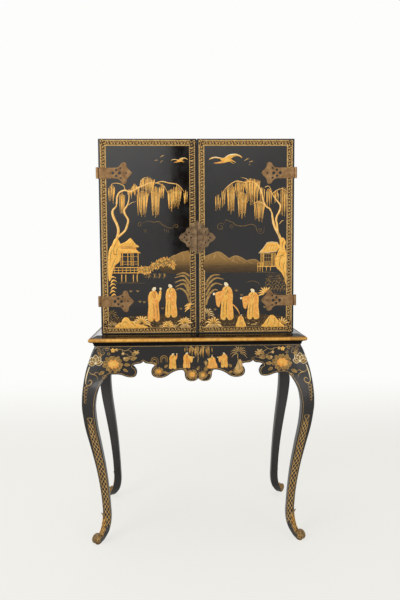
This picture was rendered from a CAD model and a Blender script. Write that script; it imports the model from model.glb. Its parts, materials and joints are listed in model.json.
# %% [markdown]
# # A lacquered cabinet on its stand
# The real object is a cabinet of black japanned wood with raised gilt pictures on its doors, brass
# hinges and lock plates, and a stand with a cut apron, four cabriole legs and a gilt moulding.
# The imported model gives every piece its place. This script gives each one its finished shape and
# surface, so it measures from the frame and never moves it.

# %% Load the frame
import json
import math

import bmesh
import bpy
import numpy as np
from mathutils import Matrix, Vector, geometry


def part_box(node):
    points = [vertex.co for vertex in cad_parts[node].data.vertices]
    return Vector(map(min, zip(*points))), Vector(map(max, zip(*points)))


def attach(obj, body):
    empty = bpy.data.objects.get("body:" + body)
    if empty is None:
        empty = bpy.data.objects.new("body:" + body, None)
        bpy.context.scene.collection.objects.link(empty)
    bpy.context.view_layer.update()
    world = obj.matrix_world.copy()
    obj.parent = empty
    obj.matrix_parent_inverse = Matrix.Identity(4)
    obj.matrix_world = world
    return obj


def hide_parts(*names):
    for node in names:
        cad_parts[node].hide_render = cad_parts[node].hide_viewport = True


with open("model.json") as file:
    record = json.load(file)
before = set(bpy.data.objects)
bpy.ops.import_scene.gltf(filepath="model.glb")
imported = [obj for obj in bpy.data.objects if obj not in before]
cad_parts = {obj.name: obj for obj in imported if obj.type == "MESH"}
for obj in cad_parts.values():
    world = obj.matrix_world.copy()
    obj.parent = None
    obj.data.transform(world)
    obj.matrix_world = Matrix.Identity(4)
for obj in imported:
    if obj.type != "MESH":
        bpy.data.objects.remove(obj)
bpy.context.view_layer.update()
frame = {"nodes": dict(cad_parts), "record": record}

MM = 0.001

# %% [markdown]
# ## Camera and light
# The photograph was taken by a camera at chest height with an almost level view. Its place was
# solved from the corners of the cabinet and the feet, so a render can be laid over the photograph.
# The floor is a pale stage that fades to white with distance, and the light comes from the front
# left through large soft sources, because lacquer shows whatever stands in front of it.

# %% Camera
FOCAL_PIXELS = 599
PHOTO_HEIGHT_PIXELS = 600
SENSOR = 36
CAMERA_PLACE = (-0.060, -2.249, 1.024)
CAMERA_YAW = math.radians(-1.89)
CAMERA_PITCH = math.radians(-4.75)
CAMERA_ROLL = math.radians(0.34)


def add_object(name, data):
    obj = bpy.data.objects.new(name, data)
    bpy.context.scene.collection.objects.link(obj)
    return obj


def place_camera():
    data = bpy.data.cameras.new("camera")
    data.sensor_width = SENSOR
    data.lens = FOCAL_PIXELS * SENSOR / PHOTO_HEIGHT_PIXELS
    camera = add_object("camera", data)
    turn = Matrix.Rotation(CAMERA_YAW, 4, "Z") @ Matrix.Rotation(CAMERA_PITCH, 4, "X")
    turn = turn @ Matrix.Rotation(CAMERA_ROLL, 4, "Y") @ Matrix.Rotation(math.pi / 2, 4, "X")
    camera.matrix_world = Matrix.Translation(CAMERA_PLACE) @ turn
    bpy.context.scene.camera = camera


place_camera()
bpy.context.scene.view_settings.view_transform = "Standard"
print("camera: at", CAMERA_PLACE, "m")

# %% One way to add a node, and one to read a colour
SMOOTH = {"interpolation_type": "SMOOTHSTEP"}


def linear(colour):
    """An sRGB hex colour as linear red, green, blue and alpha."""
    shares = [int(colour[i:i + 2], 16) / 255 for i in (1, 3, 5)]
    return [c / 12.92 if c <= 0.04045 else ((c + 0.055) / 1.055) ** 2.4 for c in shares] + [1.0]


def feed(tree, node, inputs):
    """Fills inputs, each with a number, a hex colour, a socket, or a node's first socket in use."""
    for key, value in inputs.items():
        if isinstance(value, bpy.types.Node):
            value = next(socket for socket in value.outputs if socket.enabled)
        if isinstance(value, bpy.types.NodeSocket):
            tree.links.new(value, node.inputs[key])
        else:
            node.inputs[key].default_value = linear(value) if isinstance(value, str) else value


def add(tree, kind, inputs=None, **settings):
    """Adds a node with its settings, and feeds its inputs."""
    node = tree.nodes.new(kind)
    for name, value in settings.items():
        setattr(node, name, value)
    feed(tree, node, inputs or {})
    return node

# %% Floor, sky and lamps
FLOOR_HALF = 9
FADE_NEAR = 0.5
FADE_FAR = 2.6
FLOOR_GLOW = 0.76
FLOOR_IN_MIRROR = 0.42
SKY_ON_SURFACES = 0.42
SKY_LEAN = -0.45
SKY_IN_MIRROR = {"From Min": 0.05, "From Max": 0.22, "To Min": 0.56, "To Max": 1.25}
WALL_IN_MIRROR = {"From Min": 0.2, "From Max": 0.36, "To Min": 1, "To Max": 0.35}
CEILING_IN_MIRROR = {"From Min": 0.7, "From Max": 0.85}
WINDOWS_IN_MIRROR = {"From Min": -0.35, "From Max": 0.3, "To Min": 0.1}
CARD_SPAN = (-0.135, 0.125)
CARD_HEIGHTS = (0.95, 3.4)
CARD_PLACE = -4.5


def emptied(owner):
    """The node tree of a new material or world, with nothing in it."""
    owner.use_nodes = True
    owner.node_tree.nodes.clear()
    return owner.node_tree


def sheet(name, corners, material):
    """A flat piece of the stage."""
    mesh = bpy.data.meshes.new(name)
    mesh.from_pydata(corners, [], [(0, 1, 2, 3)])
    mesh.materials.append(material)
    obj = add_object(name, mesh)
    return obj

# %% Floor


def make_floor():
    material = bpy.data.materials.new("floor_paper")
    tree = emptied(material)
    place = add(tree, "ShaderNodeTexCoord").outputs["Object"]
    depth = add(tree, "ShaderNodeSeparateXYZ", {0: place}).outputs["Y"]
    behind = add(tree, "ShaderNodeMapRange", {
        "Value": depth, "From Min": FADE_NEAR, "From Max": FADE_FAR}, **SMOOTH)
    reach = add(tree, "ShaderNodeVectorMath", {0: place}, operation="LENGTH")
    around = add(tree, "ShaderNodeMapRange", {
        "Value": reach, "From Min": FADE_FAR, "From Max": 2 * FADE_FAR}, **SMOOTH)
    fade = add(tree, "ShaderNodeMath", {0: behind, 1: around}, operation="MAXIMUM")
    share = add(tree, "ShaderNodeMapRange", {"Value": fade, "To Min": FLOOR_GLOW})
    tint = add(tree, "ShaderNodeMix", {0: fade, 6: "#F6F5F0", 7: "#FDFDFB"}, data_type="RGBA")
    glossy = add(tree, "ShaderNodeLightPath").outputs["Is Glossy Ray"]
    glow = add(tree, "ShaderNodeMapRange", {"Value": glossy, "To Min": 1, "To Max": FLOOR_IN_MIRROR})
    paper = add(tree, "ShaderNodeBsdfDiffuse", {"Color": "#F4F2EC"})
    white = add(tree, "ShaderNodeEmission", {"Color": tint, "Strength": glow})
    mixed = add(tree, "ShaderNodeMixShader", {0: share, 1: paper, 2: white})
    add(tree, "ShaderNodeOutputMaterial", {0: mixed})
    corners = [(x * FLOOR_HALF, y * FLOOR_HALF, 0) for x, y in ((-1, -1), (1, -1), (1, 1), (-1, 1))]
    sheet("floor", corners, material)

# %% Sky


def make_sky():
    """White to the camera. The lacquer mirrors it brighter above than near the horizon."""
    world = bpy.data.worlds.new("studio")
    bpy.context.scene.world = world
    tree = emptied(world)
    ray = add(tree, "ShaderNodeLightPath").outputs
    direction = add(tree, "ShaderNodeTexCoord").outputs["Generated"]
    x, y, z = add(tree, "ShaderNodeSeparateXYZ", {0: direction}).outputs
    leaning = add(tree, "ShaderNodeMath", {0: x, 1: SKY_LEAN, 2: z}, operation="MULTIPLY_ADD")
    low = add(tree, "ShaderNodeMapRange", {"Value": leaning, **SKY_IN_MIRROR})
    wall = add(tree, "ShaderNodeMapRange", {"Value": z, **WALL_IN_MIRROR}, **SMOOTH)
    ceiling = add(tree, "ShaderNodeMapRange", {"Value": z, **CEILING_IN_MIRROR}, **SMOOTH)
    windows = add(tree, "ShaderNodeMapRange", {"Value": y, **WINDOWS_IN_MIRROR}, **SMOOTH)
    bright = add(tree, "ShaderNodeMath", {0: ceiling, 1: windows}, operation="MULTIPLY")
    height = add(tree, "ShaderNodeMath", {0: low, 1: wall, 2: bright}, operation="MULTIPLY_ADD")
    mirror = add(tree, "ShaderNodeMix", {0: ray["Is Glossy Ray"], 2: SKY_ON_SURFACES, 3: height})
    seen = add(tree, "ShaderNodeMath", {0: ray["Is Camera Ray"], 1: ray["Is Transmission Ray"]},
        operation="MAXIMUM")
    strength = add(tree, "ShaderNodeMix", {0: seen, 2: mirror, 3: 1})
    sky = add(tree, "ShaderNodeBackground", {"Color": "#FDFDFC", "Strength": strength})
    add(tree, "ShaderNodeOutputWorld", {0: sky})

# %% Lamps and a dark card


def make_lamp(name, place, target, size, power):
    data = bpy.data.lights.new(name, "AREA")
    data.shape = "RECTANGLE"
    data.size, data.size_y = size
    data.energy = power
    lamp = add_object(name, data)
    lamp.location = place
    lamp.rotation_euler = (Vector(target) - Vector(place)).to_track_quat("-Z", "Y").to_euler()


def make_dark_card():
    """A dark card behind the camera, which the left door mirrors beside its meeting edge."""
    material = bpy.data.materials.new("dark_cloth")
    material.use_nodes = True
    feed(material.node_tree, material.node_tree.nodes["Principled BSDF"], {
        "Base Color": "#0A0908", "Roughness": 1, "Specular IOR Level": 0})
    left, right = CARD_SPAN
    low, high = CARD_HEIGHTS
    corners = [(x, CARD_PLACE, z) for x, z in ((left, low), (right, low), (right, high), (left, high))]
    card = sheet("dark_card", corners, material)
    card.visible_camera = card.visible_diffuse = card.visible_shadow = False


make_floor()
make_sky()
make_lamp("key_lamp", (-2.6, -3.0, 2.9), (0, 0, 0.8), (1.8, 1.8), 62)
make_lamp("fill_lamp", (2.4, -3.4, 1.7), (0, 0, 0.8), (1.6, 1.6), 24)
make_lamp("top_lamp", (-0.5, 0.3, 3.6), (0, 0, 0), (2.4, 2.0), 30)
make_dark_card()

# %% [markdown]
# ## Finishes
# Each finish starts from the real one. A pattern's scale is one over its size in metres, so each is
# written as a size in millimetres and turned by one line.

# %% Start of every finish
NOISE_MIDDLE = {"From Min": 0.3, "From Max": 0.7}


def per(size_mm):
    """The texture scale at which one feature measures this many millimetres."""
    return 1 / (size_mm * MM)


def start_finish(name):
    material = bpy.data.materials.new(name)
    material.use_nodes = True
    tree = material.node_tree
    place = add(tree, "ShaderNodeTexCoord").outputs["Object"]
    return material, tree, tree.nodes["Principled BSDF"], place


def two_tone(tree, pattern, low, high, first, second):
    """A pattern in two colours, which turns from the first to the second between two of its values."""
    share = add(tree, "ShaderNodeMapRange", {"Value": pattern, "From Min": low, "From Max": high})
    return add(tree, "ShaderNodeMix", {0: share, 6: first, 7: second}, data_type="RGBA")

# %% [markdown]
# Lacquer is many thin coats of varnish rubbed flat: deep colour, a soft mirror, slow waves from the
# gesso below, a fine crackle, and brown ground showing where edges are rubbed.

# %% Lacquers


def lacquer(name, deep, warm, rough_low, rough_high, gloss=0.7, coat=0.4):
    material, tree, shader, place = start_finish(name)
    cloud = add(tree, "ShaderNodeTexNoise", {"Vector": place, "Scale": per(70), "Detail": 4})
    colour = two_tone(tree, cloud, 0.35, 0.75, deep, warm)
    rubbed = add(tree, "ShaderNodeTexNoise", {"Vector": place, "Scale": per(26), "Detail": 5})
    rough = add(tree, "ShaderNodeMapRange", {
        "Value": rubbed, **NOISE_MIDDLE, "To Min": rough_low, "To Max": rough_high})
    waves = add(tree, "ShaderNodeTexNoise", {"Vector": place, "Scale": per(55), "Detail": 1})
    ground = add(tree, "ShaderNodeBump", {"Strength": 0.22, "Distance": 0.6 * MM, "Height": waves})
    crackle = add(tree, "ShaderNodeTexVoronoi", {"Vector": place, "Scale": per(7)},
        feature="DISTANCE_TO_EDGE")
    line = add(tree, "ShaderNodeMapRange", {"Value": crackle, "From Min": 0, "From Max": 0.05})
    surface = add(tree, "ShaderNodeBump", {
        "Strength": 0.12, "Distance": 0.04 * MM, "Height": line, "Normal": ground})
    feed(tree, shader, {
        "Base Color": colour, "Roughness": rough, "Normal": surface, "Specular IOR Level": gloss,
        "Coat Weight": coat, "Coat Roughness": 0.05})
    return material


BLACK = lacquer("black_lacquer", "#070504", "#140E0A", 0.06, 0.14)
STAND_BLACK = lacquer("stand_lacquer", "#0A0706", "#1C130D", 0.26, 0.4)
RUBBED = lacquer("rubbed_lacquer_edge", "#2B211B", "#5A4636", 0.3, 0.45)
RED = lacquer("cinnabar_lacquer", "#6E1A12", "#8E2C1C", 0.26, 0.4)
print("lacquers:", 4)

# %% [markdown]
# Gilding is leaf or powder laid on raised gesso over a red-brown size. It is warm and uneven: thin
# places turn brown, high places shine. One function makes the whole family of golds.

# %% Golds


def gilding(name, bright, deep, worn, metal, rough, wear):
    material, tree, shader, place = start_finish(name)
    leaf = add(tree, "ShaderNodeTexNoise", {"Vector": place, "Scale": per(9), "Detail": 6})
    gold = two_tone(tree, leaf, 0.34, 0.66, deep, bright)
    rubbing = add(tree, "ShaderNodeTexNoise", {
        "Vector": place, "Scale": per(3.2), "Detail": 5, "Roughness": 0.7})
    colour = two_tone(tree, rubbing, 0.62 - wear, 0.8 - wear, gold, worn)
    roughness = add(tree, "ShaderNodeMapRange", {
        "Value": leaf, **NOISE_MIDDLE, "To Min": rough + 0.1, "To Max": rough - 0.06})
    brush = add(tree, "ShaderNodeBump", {"Strength": 0.4, "Distance": 0.12 * MM, "Height": rubbing})
    feed(tree, shader, {"Base Color": colour, "Roughness": roughness, "Normal": brush, "Metallic": metal})
    return material


GILT = gilding("raised_gilding", "#FFCB68", "#F2AA3C", "#B06C26", 0.3, 0.42, -0.05)
BRONZE = gilding("worn_gilding", "#B4925E", "#745733", "#2A1D12", 0.45, 0.42, 0.12)
DULL = gilding("thin_gilding", "#AC8643", "#7A5A2C", "#2E2012", 0.3, 0.48, 0.08)
BORDER = gilding("border_gilding", "#DDB674", "#B48A4C", "#5E4424", 0.3, 0.45, 0.0)
INK = gilding("brown_ink", "#22150B", "#160D07", "#0C0704", 0.0, 0.6, 0.0)
ROBE = gilding("orange_gilding", "#FBBE60", "#EA9435", "#A85A1C", 0.2, 0.45, -0.05)
CREAM = gilding("shell_white", "#FFF2D0", "#F2D8A2", "#C09458", 0.05, 0.5, -0.08)
print("golds:", 7)

# %% [markdown]
# The far hills are gold dust sprinkled on wet varnish. It is thickest along the crests and thins to
# bare lacquer at their feet, in level drifts.

# %% Sprinkled gold
HILL_FOOT = 948
HILL_CREST = 1012
DRIFT_STRETCH = 9


def sprinkled_gold():
    material, tree, shader, place = start_finish("sprinkled_gold")
    height = add(tree, "ShaderNodeSeparateXYZ", {0: place}).outputs["Z"]
    depth = add(tree, "ShaderNodeMapRange", {
        "Value": height, "From Min": HILL_FOOT * MM, "From Max": HILL_CREST * MM}, **SMOOTH)
    level = add(tree, "ShaderNodeMapping", {"Vector": place, "Scale": (1, 1, DRIFT_STRETCH)})
    drifts = add(tree, "ShaderNodeTexNoise", {"Vector": level, "Scale": per(30), "Detail": 4})
    grains = add(tree, "ShaderNodeTexNoise", {"Vector": place, "Scale": per(1.1), "Detail": 2})
    patchy = add(tree, "ShaderNodeMath", {0: drifts, 1: 0.9, 2: -0.3}, operation="MULTIPLY_ADD")
    dust = add(tree, "ShaderNodeMath", {0: grains, 1: 0.5, 2: patchy}, operation="MULTIPLY_ADD")
    cover = add(tree, "ShaderNodeMath", {0: depth, 1: dust}, operation="ADD", use_clamp=True)
    lasting = add(tree, "ShaderNodeMapRange", {"Value": depth, "To Min": 0.35})
    share = add(tree, "ShaderNodeMath", {0: cover, 1: lasting}, operation="MULTIPLY")
    colour = add(tree, "ShaderNodeMix", {0: share, 6: "#2C2218", 7: "#9A743A"}, data_type="RGBA")
    rough = add(tree, "ShaderNodeMapRange", {"Value": share, "To Min": 0.15, "To Max": 0.45})
    feed(tree, shader, {"Base Color": colour, "Roughness": rough, "Metallic": 0.2})
    return material


DUST = sprinkled_gold()
print("hills: gold from", HILL_CREST, "down to", HILL_FOOT, "mm")

# %% [markdown]
# Brass fittings are cast or cut from plate and left to tone: a brown-pink skin, darker in hollows,
# with fine scratches that run every way.

# %% Brass


def old_brass(name, deep, light):
    material, tree, shader, place = start_finish(name)
    tone = add(tree, "ShaderNodeTexNoise", {"Vector": place, "Scale": per(16), "Detail": 5})
    colour = two_tone(tree, tone, 0.35, 0.68, deep, light)
    spots = add(tree, "ShaderNodeTexNoise", {"Vector": place, "Scale": per(2.4), "Detail": 6})
    toned = two_tone(tree, spots, 0.6, 0.78, colour, "#4E3828")
    rough = add(tree, "ShaderNodeMapRange", {
        "Value": spots, **NOISE_MIDDLE, "To Min": 0.34, "To Max": 0.52})
    scratch = add(tree, "ShaderNodeBump", {"Strength": 0.3, "Distance": 0.06 * MM, "Height": spots})
    feed(tree, shader, {"Base Color": toned, "Roughness": rough, "Normal": scratch, "Metallic": 0.7})
    return material


BRASS = old_brass("toned_brass", "#84613D", "#B28C60")
LOCK_BRASS = old_brass("lock_brass", "#66503A", "#A38664")
print("brass:", BRASS.name, "and", LOCK_BRASS.name)

# %% [markdown]
# The corner blocks and pegs are bare pine, as a workshop leaves what no one sees: long grain with
# darker winter rings.

# %% Bare wood
GRAIN_STRETCH = 14


def bare_wood():
    material, tree, shader, place = start_finish("bare_pine")
    along = add(tree, "ShaderNodeMapping", {"Vector": place, "Scale": (1, 1, 1 / GRAIN_STRETCH)})
    rings = add(tree, "ShaderNodeTexNoise", {
        "Vector": along, "Scale": per(5), "Detail": 6, "Distortion": 0.6})
    colour = add(tree, "ShaderNodeMix", {0: rings, 6: "#6E4E30", 7: "#B58C5C"}, data_type="RGBA")
    fibre = add(tree, "ShaderNodeBump", {"Strength": 0.4, "Distance": 0.15 * MM, "Height": rings})
    feed(tree, shader, {"Base Color": colour, "Normal": fibre, "Roughness": 0.75})
    return material


PINE = bare_wood()
print("finishes:", len(bpy.data.materials))

# %% [markdown]
# ## Boards
# The carcass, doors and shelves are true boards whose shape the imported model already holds. A copy
# of each gets its loose triangles merged, its flat faces cleaned and its edges eased by a bevel. The
# eased faces take the rubbed finish, because that is where lacquer wears.

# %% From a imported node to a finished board
FLAT_ANGLE = math.radians(1)
EASE_ANGLE = math.radians(30)
MERGE_DISTANCE = 1e-6


def baked(obj):
    """The object with its modifiers applied."""
    bpy.context.view_layer.update()
    evaluated = obj.evaluated_get(bpy.context.evaluated_depsgraph_get())
    mesh = bpy.data.meshes.new_from_object(evaluated)
    obj.modifiers.clear()
    obj.data = mesh
    return obj


def own(obj, body, slot, *nodes):
    """The piece rides on its body, takes a slot and stands for the nodes it replaces."""
    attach(obj, body)
    if nodes:
        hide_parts(*nodes)
    return obj


def eased_copy(node, materials, ease, segments=3):
    mesh = frame["nodes"][node].data.copy()
    if "custom_normal" in mesh.attributes:
        mesh.attributes.remove(mesh.attributes["custom_normal"])
    shape = bmesh.new()
    shape.from_mesh(mesh)
    bmesh.ops.remove_doubles(shape, verts=shape.verts, dist=MERGE_DISTANCE)
    bmesh.ops.dissolve_limit(shape, angle_limit=FLAT_ANGLE, verts=shape.verts, edges=shape.edges)
    for face in shape.faces:
        face.smooth = True
        face.material_index = 0
    shape.to_mesh(mesh)
    shape.free()
    mesh.materials.clear()
    for material in materials:
        mesh.materials.append(material)
    obj = add_object(f"{node}_finished", mesh)
    bevel = obj.modifiers.new("ease", "BEVEL")
    bevel.width = ease * MM
    bevel.segments = segments
    bevel.limit_method = "ANGLE"
    bevel.angle_limit = EASE_ANGLE
    bevel.harden_normals = True
    bevel.material = min(1, len(materials) - 1)
    return baked(obj)


def body_of(node):
    bodies = frame["record"]["behaviour"]["bodies"]
    return next(name for name, members in bodies.items() if node in members)

# %% Carcass, shelves and doors
BOARD_EASE = 0.8
DOOR_EASE = 1.0
SHELF_EASE = 1.2
INSIDE_SKIN = 0.05 * MM
SIGNS = {"left": -1, "right": 1}


def paint_inside(obj, low, high, index):
    """Faces that look into the cavity get the red finish."""
    centre = (low + high) / 2
    for face in obj.data.polygons:
        spot = face.center
        inside = all(low[k] - INSIDE_SKIN < spot[k] < high[k] + INSIDE_SKIN for k in (0, 2))
        if inside and spot.y > low.y and (centre - spot).dot(face.normal) > 0:
            face.material_index = index


def make_carcass():
    left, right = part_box("cabinet_side_left"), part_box("cabinet_side_right")
    low = Vector((left[1].x, left[0].y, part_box("cabinet_bottom")[1].z))
    high = Vector((right[0].x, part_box("cabinet_back")[0].y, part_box("cabinet_top")[0].z))
    for part in ("top", "bottom", "side_left", "side_right", "back"):
        board = eased_copy(f"cabinet_{part}", [BLACK, RUBBED, RED], BOARD_EASE)
        paint_inside(board, low, high, 2)
        own(board, "root", "black_lacquer", f"cabinet_{part}")
    for node in ("shelf_lower", "shelf_upper"):
        own(eased_copy(node, [RED, RED], SHELF_EASE), "root", "red_lacquer", node)


make_carcass()
for side in SIGNS:
    panel = eased_copy(f"door_{side}", [BLACK, RUBBED], DOOR_EASE)
    own(panel, f"{side}_door", "black_lacquer", f"door_{side}")
print("boards:", len(bpy.data.meshes), "meshes so far")

# %% Inner fittings and hidden wood
FITTING_EASE = 0.5
for node in ("lock_case", "lock_strike", "lock_bolt", "slide_bolt_upper", "slide_bolt_lower",
    "bolt_guide_upper", "bolt_guide_lower", "bolt_keeper_upper", "bolt_keeper_lower"):
    own(eased_copy(node, [BRASS], FITTING_EASE, 2), body_of(node), "brass", node)
for node in frame["nodes"]:
    if node.startswith(("corner_block", "locating_peg")):
        own(eased_copy(node, [PINE], FITTING_EASE, 2), "root", "bare_wood", node)
own(eased_copy("stand_top", [BLACK, RUBBED], BOARD_EASE), "root", "black_lacquer", "stand_top")
print("fittings and blocks:", len(bpy.data.meshes), "meshes so far")

# %% [markdown]
# ## Outlines shared by wood and brass
# Aprons, straps and plates are cut from flat stock to a symmetric outline. Half of it is written as
# shares of the piece's own size, with round stretches as curves to a control point, and the other
# half is its mirror. A filled curve object turns the outline, and any holes, into an eased plate.

# %% Outline to plate
CURVE_STEPS = 10
SOFT_ANGLE = math.radians(40)
UPRIGHT = Matrix.Rotation(math.pi / 2, 4, "X")
TO_SIDE = Matrix.Rotation(math.pi / 2, 4, "Z")


def bent(first, control, last, steps):
    """Points on a curve whose two ends head for the control point."""
    return [(1 - t) ** 2 * first + 2 * t * (1 - t) * control + t * t * last
            for t in np.linspace(0, 1, steps + 1)]


def half_outline(start, segments):
    """Points along straight and curved segments. A segment is an end, or a control point and an end."""
    points = [np.array(start, float)]
    for *control, last in segments:
        last = np.array(last, float)
        points.extend(bent(points[-1], np.array(control[0]), last, CURVE_STEPS)[1:] if control else [last])
    return points


def with_mirror(upper):
    """A whole outline from its upper half, which ends on the axis."""
    return upper + [(x, -y) for x, y in upper[-2::-1]]


def both_sides(places):
    """Each place, and its mirror image across the axis unless it lies on it."""
    return [(x, turn * y, *rest) for x, y, *rest in places for turn in ((1, -1) if y else (1,))]


def ring_of(centre, radius, count=20):
    turns = np.linspace(0, 2 * math.pi, count, endpoint=False)
    return [(centre[0] + radius * math.cos(t), centre[1] + radius * math.sin(t)) for t in turns]

# %% Meshes and plates


def tidy_mesh(mesh, merge=False):
    """Merges doubled corners where asked, and points every face outwards."""
    shape = bmesh.new()
    shape.from_mesh(mesh)
    if merge:
        bmesh.ops.remove_doubles(shape, verts=shape.verts, dist=MERGE_DISTANCE)
    bmesh.ops.recalc_face_normals(shape, faces=shape.faces)
    shape.to_mesh(mesh)
    shape.free()


def solid(name, points, faces, materials=(), merge=False, finish=None):
    """A piece from points in metres and faces. Finish gives each face its place in the materials."""
    mesh = bpy.data.meshes.new(name)
    mesh.from_pydata(points, [], faces)
    if finish:
        mesh.polygons.foreach_set("material_index", finish)
    tidy_mesh(mesh, merge)
    for material in materials:
        mesh.materials.append(material)
    return add_object(name, mesh)


def soften(obj, angle=SOFT_ANGLE):
    """Smooth shading that keeps sharp edges and flat faces crisp."""
    obj.data.shade_smooth()
    obj.data.set_sharp_from_angle(angle=angle)
    weighted = obj.modifiers.new("weighted", "WEIGHTED_NORMAL")
    weighted.keep_sharp = True
    return baked(obj)


def plate(name, outline, holes, thickness, ease, material):
    """A plate in x and y, centred on z = 0, with its edges eased."""
    data = bpy.data.curves.new(name, "CURVE")
    data.dimensions = "2D"
    data.fill_mode = "BOTH"
    data.extrude = (thickness / 2 - ease) * MM
    data.bevel_depth = ease * MM
    data.bevel_resolution = 2
    data.offset = -ease * MM
    for loop in [outline, *holes]:
        spline = data.splines.new("POLY")
        spline.points.add(len(loop) - 1)
        for point, (x, y) in zip(spline.points, loop):
            point.co = (x * MM, y * MM, 0, 1)
        spline.use_cyclic_u = True
    drawn = add_object(name, data)
    bpy.context.view_layer.update()
    mesh = bpy.data.meshes.new_from_object(drawn.evaluated_get(bpy.context.evaluated_depsgraph_get()))
    bpy.data.objects.remove(drawn)
    tidy_mesh(mesh, merge=True)
    mesh.materials.clear()
    mesh.materials.append(material)
    return soften(add_object(name, mesh))

# %% Joining and placing


def joined(name, *objects):
    """Several objects as one piece. Their places are in their meshes."""
    shape = bmesh.new()
    materials = []
    for obj in objects:
        start = len(materials)
        materials.extend(obj.data.materials)
        mesh = obj.data.copy()
        for face in mesh.polygons:
            face.material_index += start
        shape.from_mesh(mesh)
        bpy.data.objects.remove(obj)
    mesh = bpy.data.meshes.new(name)
    shape.to_mesh(mesh)
    shape.free()
    for material in materials:
        mesh.materials.append(material)
    return add_object(name, mesh)


def placed(obj, matrix):
    """Moves a piece by its mesh, so that its object stays at the origin."""
    obj.data.transform(matrix)
    return obj


def shift(x, y, z):
    return Matrix.Translation(Vector((x, y, z)) * MM)

# %% [markdown]
# ## Brass hinges and lock plates
# A strap hinge here is three pieces: a pierced strap with a middle knuckle on the door, a leaf with
# two knuckles on the cabinet's side, and a pin. The turned parts are lathed from a profile, which
# is how they are made. Their nails are dome heads set by Geometry Nodes at a handful of points.

# %% Turned parts
TURN_STEPS = 32


def turned(name, profile, material, closed=False):
    """A profile of radius and height turned about z. A closed profile makes a ring."""
    points, faces = [], []
    count = len(profile)
    for i in range(TURN_STEPS):
        turn = 2 * math.pi * i / TURN_STEPS
        points.extend((r * math.cos(turn) * MM, r * math.sin(turn) * MM, z * MM) for r, z in profile)
        here, there = i * count, (i + 1) % TURN_STEPS * count
        for k in range(count if closed else count - 1):
            after = (k + 1) % count
            faces.append((here + k, there + k, there + after, here + after))
    return soften(solid(name, points, faces, [material], merge=True))


def small_block(name, low, high, material, ease=0.3):
    shape = bmesh.new()
    bmesh.ops.create_cube(shape, size=1)
    size, centre = (Vector(high) - Vector(low)) * MM, (Vector(high) + Vector(low)) * MM / 2
    for vert in shape.verts:
        vert.co = Vector(a * b for a, b in zip(vert.co, size)) + centre
    mesh = bpy.data.meshes.new(name)
    shape.to_mesh(mesh)
    shape.free()
    mesh.materials.append(material)
    obj = add_object(name, mesh)
    bevel = obj.modifiers.new("ease", "BEVEL")
    bevel.width = ease * MM
    bevel.segments = 2
    return soften(baked(obj))

# %% A node tree with named inputs


def geometry_tree(name, **sizes):
    """A tree with named inputs. Returns it, the inputs' identifiers, their sockets and its last node."""
    tree = bpy.data.node_groups.new(name, "GeometryNodeTree")
    tree.interface.new_socket("Geometry", in_out="INPUT", socket_type="NodeSocketGeometry")
    keys = {
        label: tree.interface.new_socket(label, in_out="INPUT", socket_type=f"NodeSocket{kind}").identifier
        for label, kind in sizes.items()}
    tree.interface.new_socket("Geometry", in_out="OUTPUT", socket_type="NodeSocketGeometry")
    return tree, keys, add(tree, "NodeGroupInput").outputs, add(tree, "NodeGroupOutput")


def set_on(tree, given, end, inputs, smooth=False):
    """Sets a shape on every point, makes the copies real and gives them their material."""
    copies = add(tree, "GeometryNodeInstanceOnPoints", inputs)
    real = add(tree, "GeometryNodeRealizeInstances", {0: copies})
    if smooth:
        real = add(tree, "GeometryNodeSetShadeSmooth", {0: real})
    finish = add(tree, "GeometryNodeSetMaterial", {"Geometry": real, "Material": given["Material"]})
    feed(tree, end, {0: finish})


def grow(name, seeds, edges, recipe, **values):
    """Runs a tree on seed points and edges, in millimetres, and returns the plain result."""
    tree, keys = recipe
    mesh = bpy.data.meshes.new(name)
    mesh.from_pydata([Vector(p) * MM for p in seeds], edges, [])
    obj = add_object(name, mesh)
    modifier = obj.modifiers.new(name, "NODES")
    modifier.node_group = tree
    for label, value in values.items():
        modifier[keys[label]] = value
    return baked(obj)

# %% Nail heads by Geometry Nodes
NAIL_RADIUS = 1.9
NAIL_HEIGHT = 1.1


def nail_tree():
    tree, keys, given, end = geometry_tree("nail_heads", Radius="Float", Height="Float", Material="Material")
    ball = add(tree, "GeometryNodeMeshUVSphere", {"Segments": 12, "Rings": 8, "Radius": given["Radius"]})
    flat = add(tree, "ShaderNodeMath", {0: given["Height"], 1: given["Radius"]}, operation="DIVIDE")
    scale = add(tree, "ShaderNodeCombineXYZ", {0: 1, 1: 1, 2: flat})
    domes = add(tree, "GeometryNodeTransform", {"Geometry": ball, "Scale": scale})
    points = add(tree, "GeometryNodeMeshToPoints", {"Mesh": given[0]})
    set_on(tree, given, end, {"Points": points, "Instance": domes}, smooth=True)
    return tree, keys


NAILS = nail_tree()


def nails(points, lift):
    """Nail heads on a plate drawn in x and y, at its front."""
    seeds = [(x, y, lift) for x, y in points]
    return grow("nails", seeds, [], NAILS, Radius=NAIL_RADIUS * MM, Height=NAIL_HEIGHT * MM, Material=BRASS)


print("nail heads:", 2 * NAIL_RADIUS, "mm across")

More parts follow.
